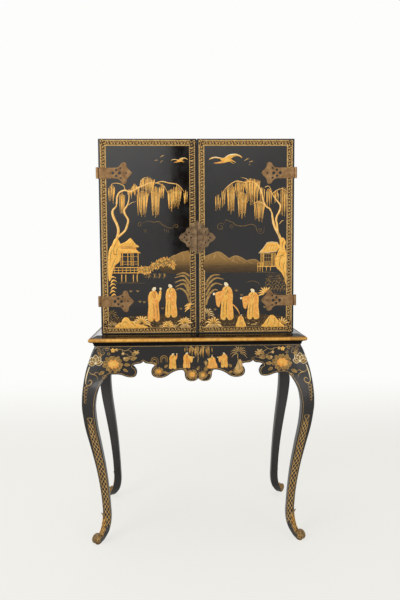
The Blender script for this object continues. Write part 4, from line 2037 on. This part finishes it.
def pavilion_left(p):
    p.gilt.fill([(-272, 1042), (-262, 1047), (-246, 1053), (-236, 1061), (-228, 1067), (-220, 1058),
        (-210, 1046), (-199, 1038), (-206, 1035), (-236, 1038), (-262, 1038)], 1.2, 3, steps=2, grid=3)
    for k in range(5):
        x = -258 + 11 * k
        p.ink.stroke([(x, 1040), (x + 7, 1046), (x + 12, 1052)], 0.9, 0.2, base=1.1, steps=2)
    p.robe.fill([(-266, 1038), (-210, 1035), (-208, 1028), (-266, 1030)], 0.7, 1.5, steps=1, grid=4)
    p.ink.stroke([(-262, 1033), (-236, 1033), (-212, 1032)], 1.6, 0.2, (0.8, 0.8), base=0.65)
    p.gilt.fill([(-276, 1022), (-264, 1030), (-236, 1030), (-212, 1029), (-203, 1022), (-194, 1015),
        (-212, 1016), (-240, 1015), (-266, 1016)], 1.1, 2.5, steps=2, grid=3)
    for x in (-262, -256, -238, -227, -220, -203):
        p.gilt.stroke([(x, 1017), (x, 996), (x, 972)], 2.4, 0.6, (1, 1), steps=1)
    for z, width in ((1004, 1.0), (986, 1.4), (978, 1.2)):
        p.gilt.stroke([(-262, z), (-233, z), (-204, z)], width, 0.4, (1, 1), steps=1)
    for z, left, right, width in ((966, -292, -182, 3.0), (957, -290, -184, 2.0), (948, -292, -184, 3.0)):
        p.gilt.stroke([(left, z), ((left + right) / 2, z), (right, z)], width, 0.6, (0.8, 0.8), steps=1)
    for k in range(8):
        x = -284 + 13.5 * k
        p.gilt.stroke([(x, 966), (x, 957), (x, 948)], 1.6, 0.45, (1, 1), steps=1)
    for x in (-260, -246, -220, -207):
        p.gilt.stroke([(x, 942), (x, 930), (x, 917)], 2.8, 0.5, (1, 0.6), steps=1)
    p.dull.stroke([(-300, 913), (-240, 914), (-178, 912)], 1.4, 0.3, (0.3, 0.3))

# %% The near ground


def foreground(p, left, right, seed):
    """The near ground along the foot: sprinkled gold, level strokes and small stones."""
    mid = (left + right) / 2
    p.dust.fill([(left, 759), (left, 786), (left + 60, 796), (mid - 40, 800), (mid + 30, 806),
        (right - 60, 798), (right, 790), (right, 759)], 0.25, 8, grid=8)
    speckle(p, left, right, 764, 800, 200, seed, "border", 1.2)
    speckle(p, left, right, 764, 782, 110, seed + 1, "gilt", 1.0)
    ground_lines(p, left, right, 778, 3, seed + 2, "dull")
    draw = np.random.default_rng(seed + 3)
    for _ in range(9):
        x, z = draw.uniform(left + 4, right - 8), draw.uniform(764, 774)
        p.border.fill([(x - 4, z - 2), (x, z + 2.4), (x + 5, z + 1), (x + 6, z - 2)], 0.8, 1.5, steps=2,
            grid=3)

# %% Left door


def scene_left():
    p = Palette()
    crane(p, -60, 1327, 0.44, 1)
    small_bird(p, -137, 1327, 0.8)
    small_bird(p, -117, 1340, 1.0, 0.5)
    small_bird(p, -119, 1323, 0.7, 1.0)
    willow(p, "willow_left", WILLOW_TRUNKS_LEFT, WILLOW_FRONDS_LEFT, "left_door", 11, 3.2)
    cloud(p, [(-187, 1117), (-168, 1124), (-148, 1120), (-131, 1122), (-118, 1111), (-100, 1102),
              (-85, 1100), (-76, 1113)])
    curl(p, -196, 1112, 9, paint="dull", width=1.2)
    curl(p, -72, 1106, 8, flip=-1, paint="dull", width=1.2)
    for x in (-182, -176, -112, -106, -100):
        p.dull.stroke([(x, 1098), (x + 1, 1090), (x + 4, 1084)], 1.0, 0.25)
    rock(p, [(-270, 1062), (-263, 1048), (-262, 1025), (-264, 1000), (-268, 985), (-281, 974), (-288, 958),
        (-293, 942), (-297, 925), (-304, 922), (-306, 960), (-305, 1000), (-301, 1028), (-291, 1044),
        (-284, 1060), (-277, 1066)], [[(-274, 1056), (-282, 1040), (-286, 1022), (-282, 1008)],
        [(-270, 1038), (-276, 1020), (-274, 1000)], [(-290, 1030), (-297, 1005), (-298, 980)],
        [(-280, 998), (-288, 980), (-296, 960)], [(-286, 1014), (-278, 1010), (-270, 1014)]])
    pavilion_left(p)
    for k in range(6):
        x, z = -301 + 3.2 * (k % 2), 934 - 12 * k
        p.gilt.stroke([(x, z - 8), (x + 10, z + 1), (x + 22 - k, z - 4)], 5.0, 0.6, (0.3, 0.3))
    hill(p, [(-122, 980), (-100, 995), (-86, 1004), (-70, 1010), (-56, 1017), (-42, 1020), (-28, 1018)], 950,
         [[(-84, 1002), (-76, 990), (-80, 976)], [(-56, 1014), (-46, 1000), (-50, 984)]])
    thicket(p, [(-206, 964), (-190, 968), (-176, 966), (-160, 976), (-144, 986), (-128, 994), (-112, 999),
        (-98, 997), (-86, 988), (-78, 976)], 24, 190, 3)
    for x in (-168, -150, -132, -116):
        p.border.stroke([(x, 946), (x + 2, 936), (x - 2, 926)], 2.0, 0.4)
        tuft(p, x + 4, 936, 12, 7, 5, "dull", 1.2)
    ground_lines(p, -186, -96, 936, 2, 8)
    plumes(p, [[(-27, 936), (-48, 947), (-73, 940)], [(-26, 908), (-46, 936), (-79, 930)],
        [(-26, 888), (-46, 921), (-79, 914)], [(-26, 868), (-46, 908), (-77, 898)],
        [(-27, 842), (-38, 876), (-58, 893), (-75, 888)]])
    palm(p, -24, 826, 24, 6, 5.0, "gilt", 80, 205)
    figure(p, -152, 779, 126, -1, "stands", "raises", "robe", "knot", 1.08)
    figure(p, -92, 793, 121, 1, "stands", "folds", "gilt", "knot", 1.12)
    foreground(p, -306, -28, 61)
    rock(p, [(-279, 757), (-278, 770), (-271, 777), (-264, 777), (-260, 787), (-250, 795), (-239, 792),
             (-232, 782), (-221, 781), (-212, 772), (-190, 768), (-172, 757)],
         [[(-261, 770), (-254, 779), (-244, 777), (-238, 768)], [(-272, 772), (-266, 768), (-264, 760)],
          [(-230, 778), (-222, 772), (-214, 762)]])
    palm(p, -194, 772, 36, 10, 6.6)
    palm(p, -103, 763, 25, 9, 4.8)
    for x, z, radius, paint in ((-113, 766, 8, "gilt"), (-92, 765, 8, "gilt"), (-128, 763, 6, "border"),
            (-102, 761, 6, "border"), (-78, 763, 6, "border")):
        blossom(p, x, z, radius, 6, paint, "ink")
    palm(p, -44, 770, 30, 8, 6.0, "gilt", 10, 175)
    p.border.fill([(-62, 758), (-58, 766), (-48, 771), (-36, 770), (-28, 764), (-27, 758)], 0.9, 3)
    palm(p, -296, 802, 24, 8, 2.8, "dull", -30, 200)
    p.dull.stroke([(-296, 802), (-300, 785), (-298, 762)], 1.8, 0.4)
    palm(p, -294, 762, 26, 6, 3.4, "border", 20, 150)
    for x, z in ((-230, 884), (-206, 884), (-199, 848), (-184, 846), (-122, 824), (-58, 822)):
        p.border.stroke([(x - 5, z + 4), (x, z - 1), (x + 6, z + 3)], 1.9, 0.4, (0.3, 0.3))
        grass(p, x, z)
    p.place("picture_left", door_skin, "left_door")


scene_left()

# %% Trunks and fronds of the right willow
WILLOW_TRUNKS_RIGHT = [
    [(290, 1050), (283, 1070), (275, 1085), (268, 1098), (262, 1115), (258, 1135), (256, 1150), (250, 1163)],
    [(252, 1158), (248, 1165), (238, 1171), (230, 1182), (226, 1195), (222, 1215), (214, 1235), (205, 1246),
     (190, 1256), (176, 1257)],
    [(176, 1257), (165, 1253), (150, 1256), (135, 1258), (118, 1250), (105, 1240), (95, 1230), (87, 1218)],
    [(284, 1062), (277, 1085), (274, 1110), (271, 1125), (274, 1140), (282, 1155), (286, 1170), (283, 1180),
     (275, 1190), (265, 1203), (258, 1214), (248, 1228)],
    [(258, 1216), (272, 1226), (288, 1232), (301, 1228)],
    [(228, 1181), (214, 1187), (200, 1186), (190, 1180)],
    [(232, 1237), (244, 1241), (253, 1230)],
    [(176, 1257), (168, 1266), (150, 1270)],
    [(282, 1112), (290, 1122), (298, 1124)],
]
WILLOW_FRONDS_RIGHT = [
    (62, 81, 1212, 1157), (83, 98, 1230, 1168), (102, 130, 1246, 1147), (131, 160, 1258, 1200),
    (138, 170, 1222, 1132), (168, 210, 1264, 1176), (196, 232, 1194, 1122), (236, 256, 1234, 1170),
    (286, 308, 1236, 1140), (264, 280, 1226, 1184), (160, 214, 1266, 1214), (214, 232, 1236, 1190),
]

# %% The right door's pavilion


def pavilion_right(p):
    p.gilt.fill([(240, 1048), (258, 1050), (276, 1048), (286, 1036), (274, 1019), (246, 1016), (213, 1014),
        (226, 1029)], 1.2, 3, steps=1, grid=3)
    for k in range(5):
        p.ink.stroke([(228 + 10 * k, 1021), (236 + 9 * k, 1034), (242 + 8 * k, 1045)], 0.9, 0.2, base=1.1,
            steps=2)
    for path in ([(210, 1013), (240, 1015), (274, 1019)], [(240, 1049), (227, 1030), (212, 1014)],
            [(238, 1049), (258, 1051), (277, 1049)]):
        p.cream.stroke(path, 1.7, 0.5, (0.7, 0.7), base=0.9, steps=2)
    p.dull.fill([(219, 1013), (270, 1016), (270, 966), (219, 966)], 0.4, 1.5, steps=1, grid=4)
    p.ink.fill([(231, 1008), (253, 1009), (253, 987), (231, 986)], 0.35, 0.8, base=0.3, steps=1, grid=4)
    for x in (238, 246):
        p.border.stroke([(x, 1007), (x, 997), (x, 988)], 1.1, 0.3, (1, 1), base=0.6, steps=1)
    p.border.stroke([(231, 998), (242, 998), (253, 998)], 1.1, 0.3, (1, 1), base=0.6, steps=1)
    for x in (219, 227, 257, 268):
        p.gilt.stroke([(x, 1013), (x, 990), (x, 966)], 2.4, 0.6, (1, 1), base=0.3, steps=1)
    p.gilt.stroke([(206, 968), (240, 967), (272, 967)], 3.2, 0.7, (0.8, 0.8), base=0.1)
    p.gilt.stroke([(206, 979), (214, 979), (228, 979)], 1.8, 0.6, (1, 1), base=0.3, steps=1)
    for x, low in ((208, 948), (216, 950), (224, 948), (238, 952), (252, 952)):
        p.gilt.stroke([(x, 979 if x < 230 else 966), (x, 964), (x, low)], 2.2, 0.5, (1, 0.6), base=0.2,
            steps=1)
    p.dull.stroke([(200, 946), (235, 948), (276, 944)], 1.4, 0.3, (0.3, 0.3))

# %% Right door


def scene_right():
    p = Palette()
    crane(p, 96, 1330, 0.88, 1)
    small_bird(p, 170, 1329, 1.1, 0.6)
    small_bird(p, 185, 1322, 1.0, 0.2)
    small_bird(p, 179, 1312, 0.5)
    willow(p, "willow_right", WILLOW_TRUNKS_RIGHT, WILLOW_FRONDS_RIGHT, "right_door", 23)
    curl(p, 80, 1103, 14, paint="dull", width=1.3, start=0.6)
    cloud(p, [(92, 1115), (100, 1128), (108, 1123), (122, 1118), (135, 1108), (160, 1106), (185, 1112),
              (200, 1105), (205, 1090), (215, 1080), (228, 1085), (230, 1105)])
    curl(p, 118, 1104, 8, paint="dull", width=1.2)
    curl(p, 216, 1091, 7, flip=-1, paint="dull", width=1.2)
    rock(p, [(283, 1062), (296, 1065), (305, 1050), (301, 1035), (305, 1020), (307, 1008), (306, 960),
        (306, 905), (300, 925), (290, 945), (280, 955), (272, 965), (269, 985), (273, 1005), (284, 1035)],
        [[(298, 1058), (292, 1040), (296, 1022)], [(300, 1010), (288, 1000), (282, 985)],
        [(302, 985), (296, 965), (298, 945)], [(285, 990), (283, 972), (290, 960)],
        [(301, 950), (302, 930), (303, 915)], [(280, 1000), (292, 1006), (300, 1000)]])
    pavilion_right(p)
    hill(p, [(156, 978), (172, 988), (190, 991), (203, 990), (216, 980)], 950)
    hill(p, [(100, 990), (114, 998), (125, 1003), (135, 1004), (148, 1000), (160, 993), (176, 984),
        (190, 976)], 950, [[(134, 1003), (146, 990), (166, 980)], [(126, 1000), (122, 988), (112, 978)]],
        0.12)
    hill(p, [(26, 1000), (40, 1008), (55, 1014), (68, 1018), (80, 1016), (92, 1008), (108, 996), (124, 986),
             (140, 978)], 950,
         [[(70, 1017), (80, 1004), (96, 992), (104, 982)], [(62, 1014), (58, 1000), (46, 990)],
          [(40, 1006), (38, 994), (30, 984)]], 0.24)
    ground_lines(p, 27, 205, 957, 3, 31)
    plumes(p, [[(28, 905), (38, 924), (54, 938), (78, 939)], [(28, 888), (44, 914), (64, 928), (90, 924)],
        [(29, 868), (44, 896), (62, 910), (86, 904)], [(29, 848), (42, 874), (58, 888), (70, 886)],
        [(29, 836), (34, 856), (44, 868)]])
    p.dull.stroke([(168, 914), (190, 917), (208, 912), (218, 900)], 1.5, 0.3)
    ground_lines(p, 236, 306, 940, 7, 13)
    speckle(p, 236, 306, 872, 940, 70, 19)
    for k in range(6):
        sprig(p, (244 + 11 * k, 880), (240 + 12 * k, 926 - 6 * (k % 2)), 6, 9, paint="dull")
    figure(p, 101, 782, 138, 1, "stands", "reaches", "gilt", "knot", 1.08)
    p.robe.stroke([(114, 842), (130, 828), (140, 814), (147, 799)], 4, 0.6, (1, 0.2))
    figure(p, 192, 784, 112, 1, "stands", "reaches", "gilt", "knot", 1.25)
    figure(p, 150, 756, 50, -1, "kneels", "folds", "gilt", "knot")
    palm(p, 236, 872, 30, 7, 5.0, "gilt", 60, 190, 0.1)
    foreground(p, 26, 306, 77)
    rock(p, [(222, 757), (229, 769), (237, 781), (247, 794), (257, 799), (268, 793), (279, 781), (290, 769),
             (300, 757)],
         [[(250, 792), (244, 776), (240, 764)], [(266, 790), (268, 774), (262, 762)],
          [(280, 776), (282, 766), (280, 760)]])
    palm(p, 292, 764, 32, 7, 5.4, "gilt", 20, 160, 0.1)
    palm(p, 54, 768, 32, 8, 6.4)
    p.border.fill([(34, 758), (38, 765), (50, 770), (64, 769), (76, 764), (79, 758)], 0.9, 3)
    palm(p, 30, 800, 32, 6, 4.2, "border", -10, 100)
    p.dull.stroke([(38, 806), (36, 790), (40, 772)], 1.8, 0.4)
    for x, z in ((60, 818), (134, 884), (152, 868), (232, 826), (262, 838)):
        p.border.stroke([(x - 5, z + 4), (x, z - 1), (x + 6, z + 3)], 1.9, 0.4, (0.3, 0.3))
        grass(p, x, z)
    p.place("picture_right", door_skin, "right_door")


scene_right()

# %% [markdown]
# ## The stand's gilding
# One fine line follows the apron's cut edge and runs on down the legs. Flowers fill the corners, as
# the knees are the widest field, small figures stand between the lobes, and a trellis runs down each
# leg to the carved leaf.

# %% Lines along the edges
EDGE_INSET = 5
LINE_FOOT = 150
TOP_LINE = 697


def inset_line(points, gap):
    """The line at a distance above and beside a cut edge that runs to the right."""
    line = np.array(points, float)
    keep = np.concatenate(([True], np.linalg.norm(np.diff(line, axis=0), axis=1) > 0.2))
    line = line[keep]
    shifted = line + normals(line) * gap
    there_and_back = np.vstack((line, line[::-1]))
    wood = np.vstack((line, [(line[-1][0] + 200, line[-1][1]), (line[-1][0] + 200, 900), (line[0][0], 900)]))
    return shifted[(distances(shifted, there_and_back) > gap * 0.93) & within(shifted, wood)]


def edge_lines(p, shares, frame_half, span):
    """The line along an apron's edge and down both its legs."""
    ear = EAR_TOP - EAR_HEIGHT
    heights = [*np.linspace(EAR_TOP, ear, 16), *np.linspace(ear - 6, LINE_FOOT, 60)]
    leg = [(frame_half + leg_numbers(z)[1], z) for z in heights]
    line = inset_line(apron_edge(shares, span) + leg, EDGE_INSET)
    for sign in (1, -1):
        p.border.stroke([(sign * x, z) for x, z in line], 1.5, 0.4, (1, 0.5), steps=1)
    top = [(x, TOP_LINE) for x in np.linspace(-frame_half + 8, frame_half - 8, 70)]
    p.border.stroke(top, 1.3, 0.35, (1, 1), steps=1)

# %% The legs' trellis and curls
TRELLIS_TOP = 458
TRELLIS_FOOT = 52
TRELLIS_ROW = 19


def across_leg(share, z):
    out, inner, _, _ = leg_numbers(z)
    return inner + (out - inner) * share


def trellis(p, sign, frame_half):
    """A lattice two diamonds wide on one face of a leg."""

    def at(side, z):
        widen = min((TRELLIS_TOP - z) / 220, 1)
        return sign * (frame_half + across_leg(0.46 + side * (0.2 + 0.19 * widen), z)), z

    for k in range(int((TRELLIS_TOP - TRELLIS_FOOT) / TRELLIS_ROW)):
        z = TRELLIS_TOP - k * TRELLIS_ROW
        low = max(z - 2 * TRELLIS_ROW, TRELLIS_FOOT)
        share = (z - low) / (2 * TRELLIS_ROW)
        for side in (-1, 1):
            path = [at(side * (1 - 2 * s * share), z + (low - z) * s) for s in (0, 0.33, 0.67, 1)]
            p.border.stroke(path, 1.9, 0.3, (1, 1), steps=1)
        if k > 1:
            for side, drop in ((0, 0), (-0.5, 0.5), (0.5, 0.5)):
                p.gilt.dot(*at(side, z + drop * TRELLIS_ROW), 1.5, 0.6)
    for side in (-1, 1):
        p.dull.stroke([at(side, z) for z in np.linspace(TRELLIS_TOP, TRELLIS_FOOT, 50)], 1.3, 0.35, (1, 1),
            steps=1)
    p.border.stroke([at(-1, TRELLIS_TOP), at(0, TRELLIS_TOP + 2), at(1, TRELLIS_TOP)], 1.6, 0.35, (1, 1),
        steps=2)


def knee_scrolls(p, sign, frame_half):
    """A bright stem down the knee's outer edge, a curl at its end, then a chain of rings."""

    def at(inset, z):
        return sign * (frame_half + leg_numbers(z)[0] - inset), z

    p.cream.stroke([at(11, 632), at(10, 618), at(9, 604), at(9, 588), at(10, 576)], 3.6, 0.8, (0.8, 0.4))
    p.border.stroke([at(10, 578), at(16, 570), at(26, 572), at(29, 582), at(22, 588), at(17, 582)], 2.8,
        0.5, (0.6, 0.4))
    p.border.stroke([at(14, 616), at(22, 608), at(34, 604), at(44, 596), at(48, 584)], 2.2, 0.5, (0.4, 0.2))
    p.border.stroke([at(30, 606), at(38, 612), at(48, 608)], 2.0, 0.5, (0.4, 0.2))
    for k in range(5):
        z = 562 - 11.5 * k
        reach = 6.4 - 0.7 * k
        path = [at(14 + reach * math.cos(a), z + 4.6 * math.sin(a)) for a in np.linspace(0.5, 6.2, 9)]
        p.border.stroke(path, 2.4 - 0.2 * k, 0.5, (0.6, 0.3), steps=2)

# %% Flowers of the knees and corners


def lotus(p, x, z, size, flip):
    """An open flower in outline: three upright petals and two that fall outward."""

    def at(points):
        return moved(points, x, z, size, flip)

    for lean, reach in ((-1.35, 17), (1.35, 17), (-0.62, 20), (0.62, 20), (0, 22)):
        c, s = math.sin(lean), math.cos(lean)
        petal = [(0, 0), (reach * (0.45 * c - 0.36 * s), reach * (0.45 * s + 0.36 * c)),
            (reach * c, reach * s), (reach * (0.45 * c + 0.36 * s), reach * (0.45 * s - 0.36 * c))]
        p.dull.fill(at(petal), 0.4, 2, grid=4, steps=3)
        p.cream.stroke(at(petal + petal[:1]), 1.25 * size, 0.6, (0.5, 0.5), base=0.2, steps=3)
        p.border.stroke(at([(0.2 * reach * c, 0.2 * reach * s), (0.7 * reach * c, 0.7 * reach * s)]),
            1.8 * size, 0.4, (0.5, 0.2), base=0.3, steps=2)
    p.cream.dot(*at([(0, 2)])[0], 3 * size, 1.2)


def butterfly(p, x, z, size):
    for flip in (-1, 1):
        for tip in ((9, 7), (10, -1), (6, -6)):
            p.border.stroke(moved([(0, 0), (tip[0] * 0.6, tip[1] * 0.7), tip], x, z, size, flip), 4 * size,
                0.5, (0.3, 0.3))
    p.gilt.stroke(moved([(0, 5), (0, 0), (0, -6)], x, z, size), 1.6 * size, 0.9)


def knee_flowers(p, sign):
    lotus(p, sign * 350, 640, 1.4, sign)
    for x, z, radius, flip in ((341, 684, 8, 1), (326, 676, 9, -1), (313, 688, 7, 1), (306, 672, 6, -1)):
        curl(p, sign * x, z, radius, 1.4, sign * flip, "border", 1.4, 1.0)
    peony(p, sign * 291, 636, 35)
    for x, z, length, turn in ((256, 650, 24, 0.35), (254, 634, 20, -0.05), (232, 652, 22, 0.3),
            (258, 618, 18, -0.45), (322, 612, 20, 3.6), (330, 664, 18, 2.3)):
        leaf(p, sign * x, z, length, math.pi - turn if sign > 0 else turn, "border")

    def stem(points, paint="border", width=1.8):
        p[paint].stroke([(sign * x, z) for x, z in points], width, 0.45, (0.5, 0.3))

    stem([(354, 690), (346, 694), (336, 692)], width=1.4)
    stem([(330, 686), (320, 692), (304, 690), (294, 684)], width=1.4)
    stem([(286, 682), (268, 688), (250, 682), (234, 690), (226, 696)])
    stem([(262, 684), (252, 672), (240, 670)])
    stem([(240, 686), (226, 676), (206, 676)])
    stem([(246, 668), (230, 662), (212, 668)])
    blossom(p, sign * 292, 684, 8, 5, "gilt", "border")
    blossom(p, sign * 279, 686, 6, 5, "border", "gilt")
    for x, z in ((258, 672), (253, 655)):
        blossom(p, sign * x, z, 5.4, 5, "border", "cream")
    leaf(p, sign * 228, 668, 22, math.pi - 0.35 if sign > 0 else 0.35, "border")
    butterfly(p, sign * 212, 676, 1.0)
    curl(p, sign * 322, 592, 8, 1.2, -sign, "border", 1.6)

# %% The stand's front
FRONT_TREE = [(0, 664), (-6, 676), (-16, 688), (-34, 697), (-44, 694)]
FRONT_FRONDS = [(-50, -34, 694, 670), (-32, -16, 697, 662), (-14, 4, 695, 650), (6, 24, 697, 652),
    (26, 42, 695, 656), (42, 56, 690, 668)]


def stand_front_scene():
    p = Palette()
    edge_lines(p, FRONT_SHARES, FRAME_X, SPAN_X)
    for sign in (-1, 1):
        knee_flowers(p, sign)
        knee_scrolls(p, sign, FRAME_X)
        trellis(p, sign, FRAME_X)
        lobe = sign * 136
        peony(p, lobe, 609, 17)
        for x, z, turn in ((116, 622, 2.4), (120, 606, 3.3), (146, 628, 1.2)):
            leaf(p, sign * x, z, 15, turn if sign > 0 else math.pi - turn)
    for x, z in ((-150, 640), (-118, 646)):
        for reach in (18, 11):
            p.dull.stroke([(x - reach * 0.7, z - 6), (x - reach * 0.6, z + reach * 0.6), (x, z + reach),
                (x + reach * 0.6, z + reach * 0.6), (x + reach * 0.7, z - 6)], 3, 0.5, (0.6, 0.6))
    figure(p, -88, 617, 58, -1, "stands", "raises", "gilt", "knot", 1.4)
    figure(p, -40, 619, 58, -1, "stands", "reaches", "robe", "knot", 1.4)
    figure(p, 48, 617, 50, 1, "kneels", "reaches", "robe", "cap")
    figure(p, 90, 620, 55, 1, "stands", "reaches", "gilt", "knot", 1.4)
    peony(p, -21, 598, 19)
    peony(p, 16, 596, 15)
    for x, z, turn in ((-4, 612, 1.1), (2, 588, -0.6), (34, 600, 0.5), (-38, 606, 2.4)):
        leaf(p, x, z, 15, turn)
    for path in (FRONT_TREE, [(0, 664), (8, 678), (22, 690), (40, 695)], [(-2, 640), (0, 652), (0, 666)]):
        p.border.stroke(path, 2.2, 0.6, (1, 0.4))
    for k, strand in enumerate(hanging(FRONT_FRONDS, 5, 1.5, 2.9)):
        p[("gilt", "border", "gilt")[k % 3]].stroke(strand, 1.9, 0.35, (0.5, 0.15), steps=3)
    p.dull.fill([(16, 602), (22, 622), (32, 636), (44, 640), (30, 610)], 0.6, 2)
    tuft(p, 26, 628, 22, 10, 6, "border", 1.6)
    rock(p, [(126, 602), (130, 622), (138, 644), (146, 648), (152, 634), (154, 612), (148, 602)],
         [[(138, 640), (142, 624), (138, 610)]], "border")
    palm(p, 140, 670, 31, 11, 2.6, "border", -20, 200)
    p.border.stroke([(138, 646), (136, 656), (137, 668)], 2.4, 0.5, (1, 0.8))
    butterfly(p, 206, 668, 1.1)
    p.border.stroke([(182, 652), (200, 656), (222, 650), (240, 656)], 1.4, 0.4)
    for left, right, z in ((-106, -66, 619), (-58, -26, 621), (30, 66, 620), (72, 110, 622)):
        ground_lines(p, left, right, z, 1, int(z + left))
    speckle(p, -108, 108, 617, 630, 60, 6)
    speckle(p, -40, 40, 584, 612, 50, 7)
    p.place("stand_front", stand_front, "root")


stand_front_scene()

# %% [markdown]
# The sides and the backs of the doors aren't seen in the photograph. A cabinet like this carries the same
# work there but more sparsely, so each has a double gilt line, one flowering tree and a crane, and the
# side aprons have the front's line and flowers.

# %% A flowering tree in a gilt frame
SIDE_MARGIN = 9


def flowering_tree(p, x, z, flip=1):
    """A bent trunk with four boughs, an open flower at each end and leaves between."""
    for path, width in (([(0, 0), (14, 50), (-2, 100), (12, 150), (34, 200), (26, 250), (54, 290)], 7),
            ([(12, 150), (-20, 190), (-26, 230)], 4), ([(26, 250), (-6, 286), (-10, 330)], 3.4),
            ([(34, 200), (70, 222), (100, 250)], 3.6), ([(54, 290), (84, 330), (94, 370)], 3)):
        p.gilt.stroke(moved(path, x, z, 1, flip), width, 0.9, (1, 0.3))
    for u, v, radius in ((-26, 236, 15), (-10, 336, 14), (104, 256, 16), (96, 378, 14), (52, 296, 11)):
        peony(p, x + flip * u, z + v, radius)
    for u, v, turn in ((0, 70, 2.6), (10, 140, 0.6), (-18, 206, 3.0), (22, 230, 0.3), (76, 230, 1.2),
            (0, 300, 2.4), (78, 340, 0.6), (6, 20, 0.5), (110, 278, 0.9), (40, 266, 2.3)):
        leaf(p, x + flip * u, z + v, 22, turn if flip > 0 else math.pi - turn, "gilt")


def double_line(p, left, right):
    """Two fine gilt lines just inside a panel."""
    for inset, width in ((SIDE_MARGIN, 1.5), (SIDE_MARGIN + 12, 1.2)):
        near, far, low, high = left + inset, right - inset, BORDER_LOW + inset, BORDER_HIGH - inset
        corners = np.array([(near, low), (far, low), (far, high), (near, high), (near, low)], float)
        for start, stop in zip(corners, corners[1:]):
            path = start + (stop - start) * np.linspace(0, 1, 6)[:, None]
            p.border.stroke(path, width, 0.35, (1, 1), steps=1)

# %% Sides


def side_scene(sign):
    p = Palette()
    edge_lines(p, SIDE_SHARES, FRAME_Y, SPAN_Y)
    for end in (-1, 1):
        if end < 0:
            trellis(p, end, FRAME_Y)
            knee_scrolls(p, end, FRAME_Y)
        lotus(p, end * 186, 640, 0.9, -end)
        peony(p, end * 142, 632, 24)
        leaf(p, end * 112, 648, 18, 0.4 if end < 0 else math.pi - 0.4)
        p.border.stroke([(end * 176, 676), (end * 150, 688), (end * 118, 680), (end * 96, 664)], 1.6, 0.45)
        blossom(p, end * 120, 680, 6, 5, "border", "gilt")
    blossom(p, 0, 662, 11, 7, "border", "gilt")
    for end in (-1, 1):
        p.border.stroke([(end * 10, 662), (end * 34, 672), (end * 60, 664), (end * 76, 650)], 1.6, 0.45)
        leaf(p, end * 34, 670, 16, 0.7 if end > 0 else math.pi - 0.7)
    p.place(f"stand_{'left' if sign < 0 else 'right'}", stand_side(sign), "root")
    q = Palette()
    double_line(q, -160, 180)
    flowering_tree(q, -70, 800)
    crane(q, 60, 1266, 0.8, 1)
    small_bird(q, -40, 1290, 1.1, 0.5)
    small_bird(q, -66, 1276, 0.9)
    rock(q, [(-120, 768), (-112, 796), (-92, 812), (-66, 806), (-40, 790), (10, 782), (26, 768)],
         [[(-96, 806), (-100, 790), (-92, 776)], [(-60, 800), (-54, 786), (-62, 774)]])
    palm(q, 60, 790, 32, 9, 5)
    speckle(q, -128, 150, 768, 800, 120, 15)
    hill(q, [(40, 968), (64, 986), (90, 992), (120, 984), (156, 970)], 940)
    q.place(f"cabinet_side_{'left' if sign < 0 else 'right'}_picture", cabinet_side(sign), "root")


side_scene(-1)
side_scene(1)

# %% Backs of the doors
INSIDE_NEAR = 64
INSIDE_FAR = 318
DOOR_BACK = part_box("door_left")[1].y / MM


def door_back(x, z, lift):
    return x, DOOR_BACK + lift, z


def inside_scene(side, sign):
    """Clear of the lock case and the slide bolts, which lie nearer the meeting edge."""
    p = Palette()
    double_line(p, *sorted((sign * INSIDE_NEAR, sign * INSIDE_FAR)))
    flowering_tree(p, sign * 236, 800, -sign)
    crane(p, sign * 180, 1290, 0.7, -sign)
    butterfly(p, sign * 124, 900, 0.9)
    butterfly(p, sign * 262, 1210, 0.7)
    stone = [(-50, -26), (-42, 4), (-22, 18), (4, 12), (30, -4), (76, -12), (92, -26)]
    cracks = [(-26, 12), (-30, -4), (-22, -18)], [(10, 6), (16, -8), (8, -20)]
    outline, *veins = (moved(line, sign * 236, 792, 1, -sign) for line in (stone, *cracks))
    rock(p, outline, veins)
    palm(p, sign * 116, 782, 26, 8, 4.6)
    p.place(f"door_{side}_inside", door_back, f"{side}_door")


for side, sign in SIGNS.items():
    inside_scene(side, sign)
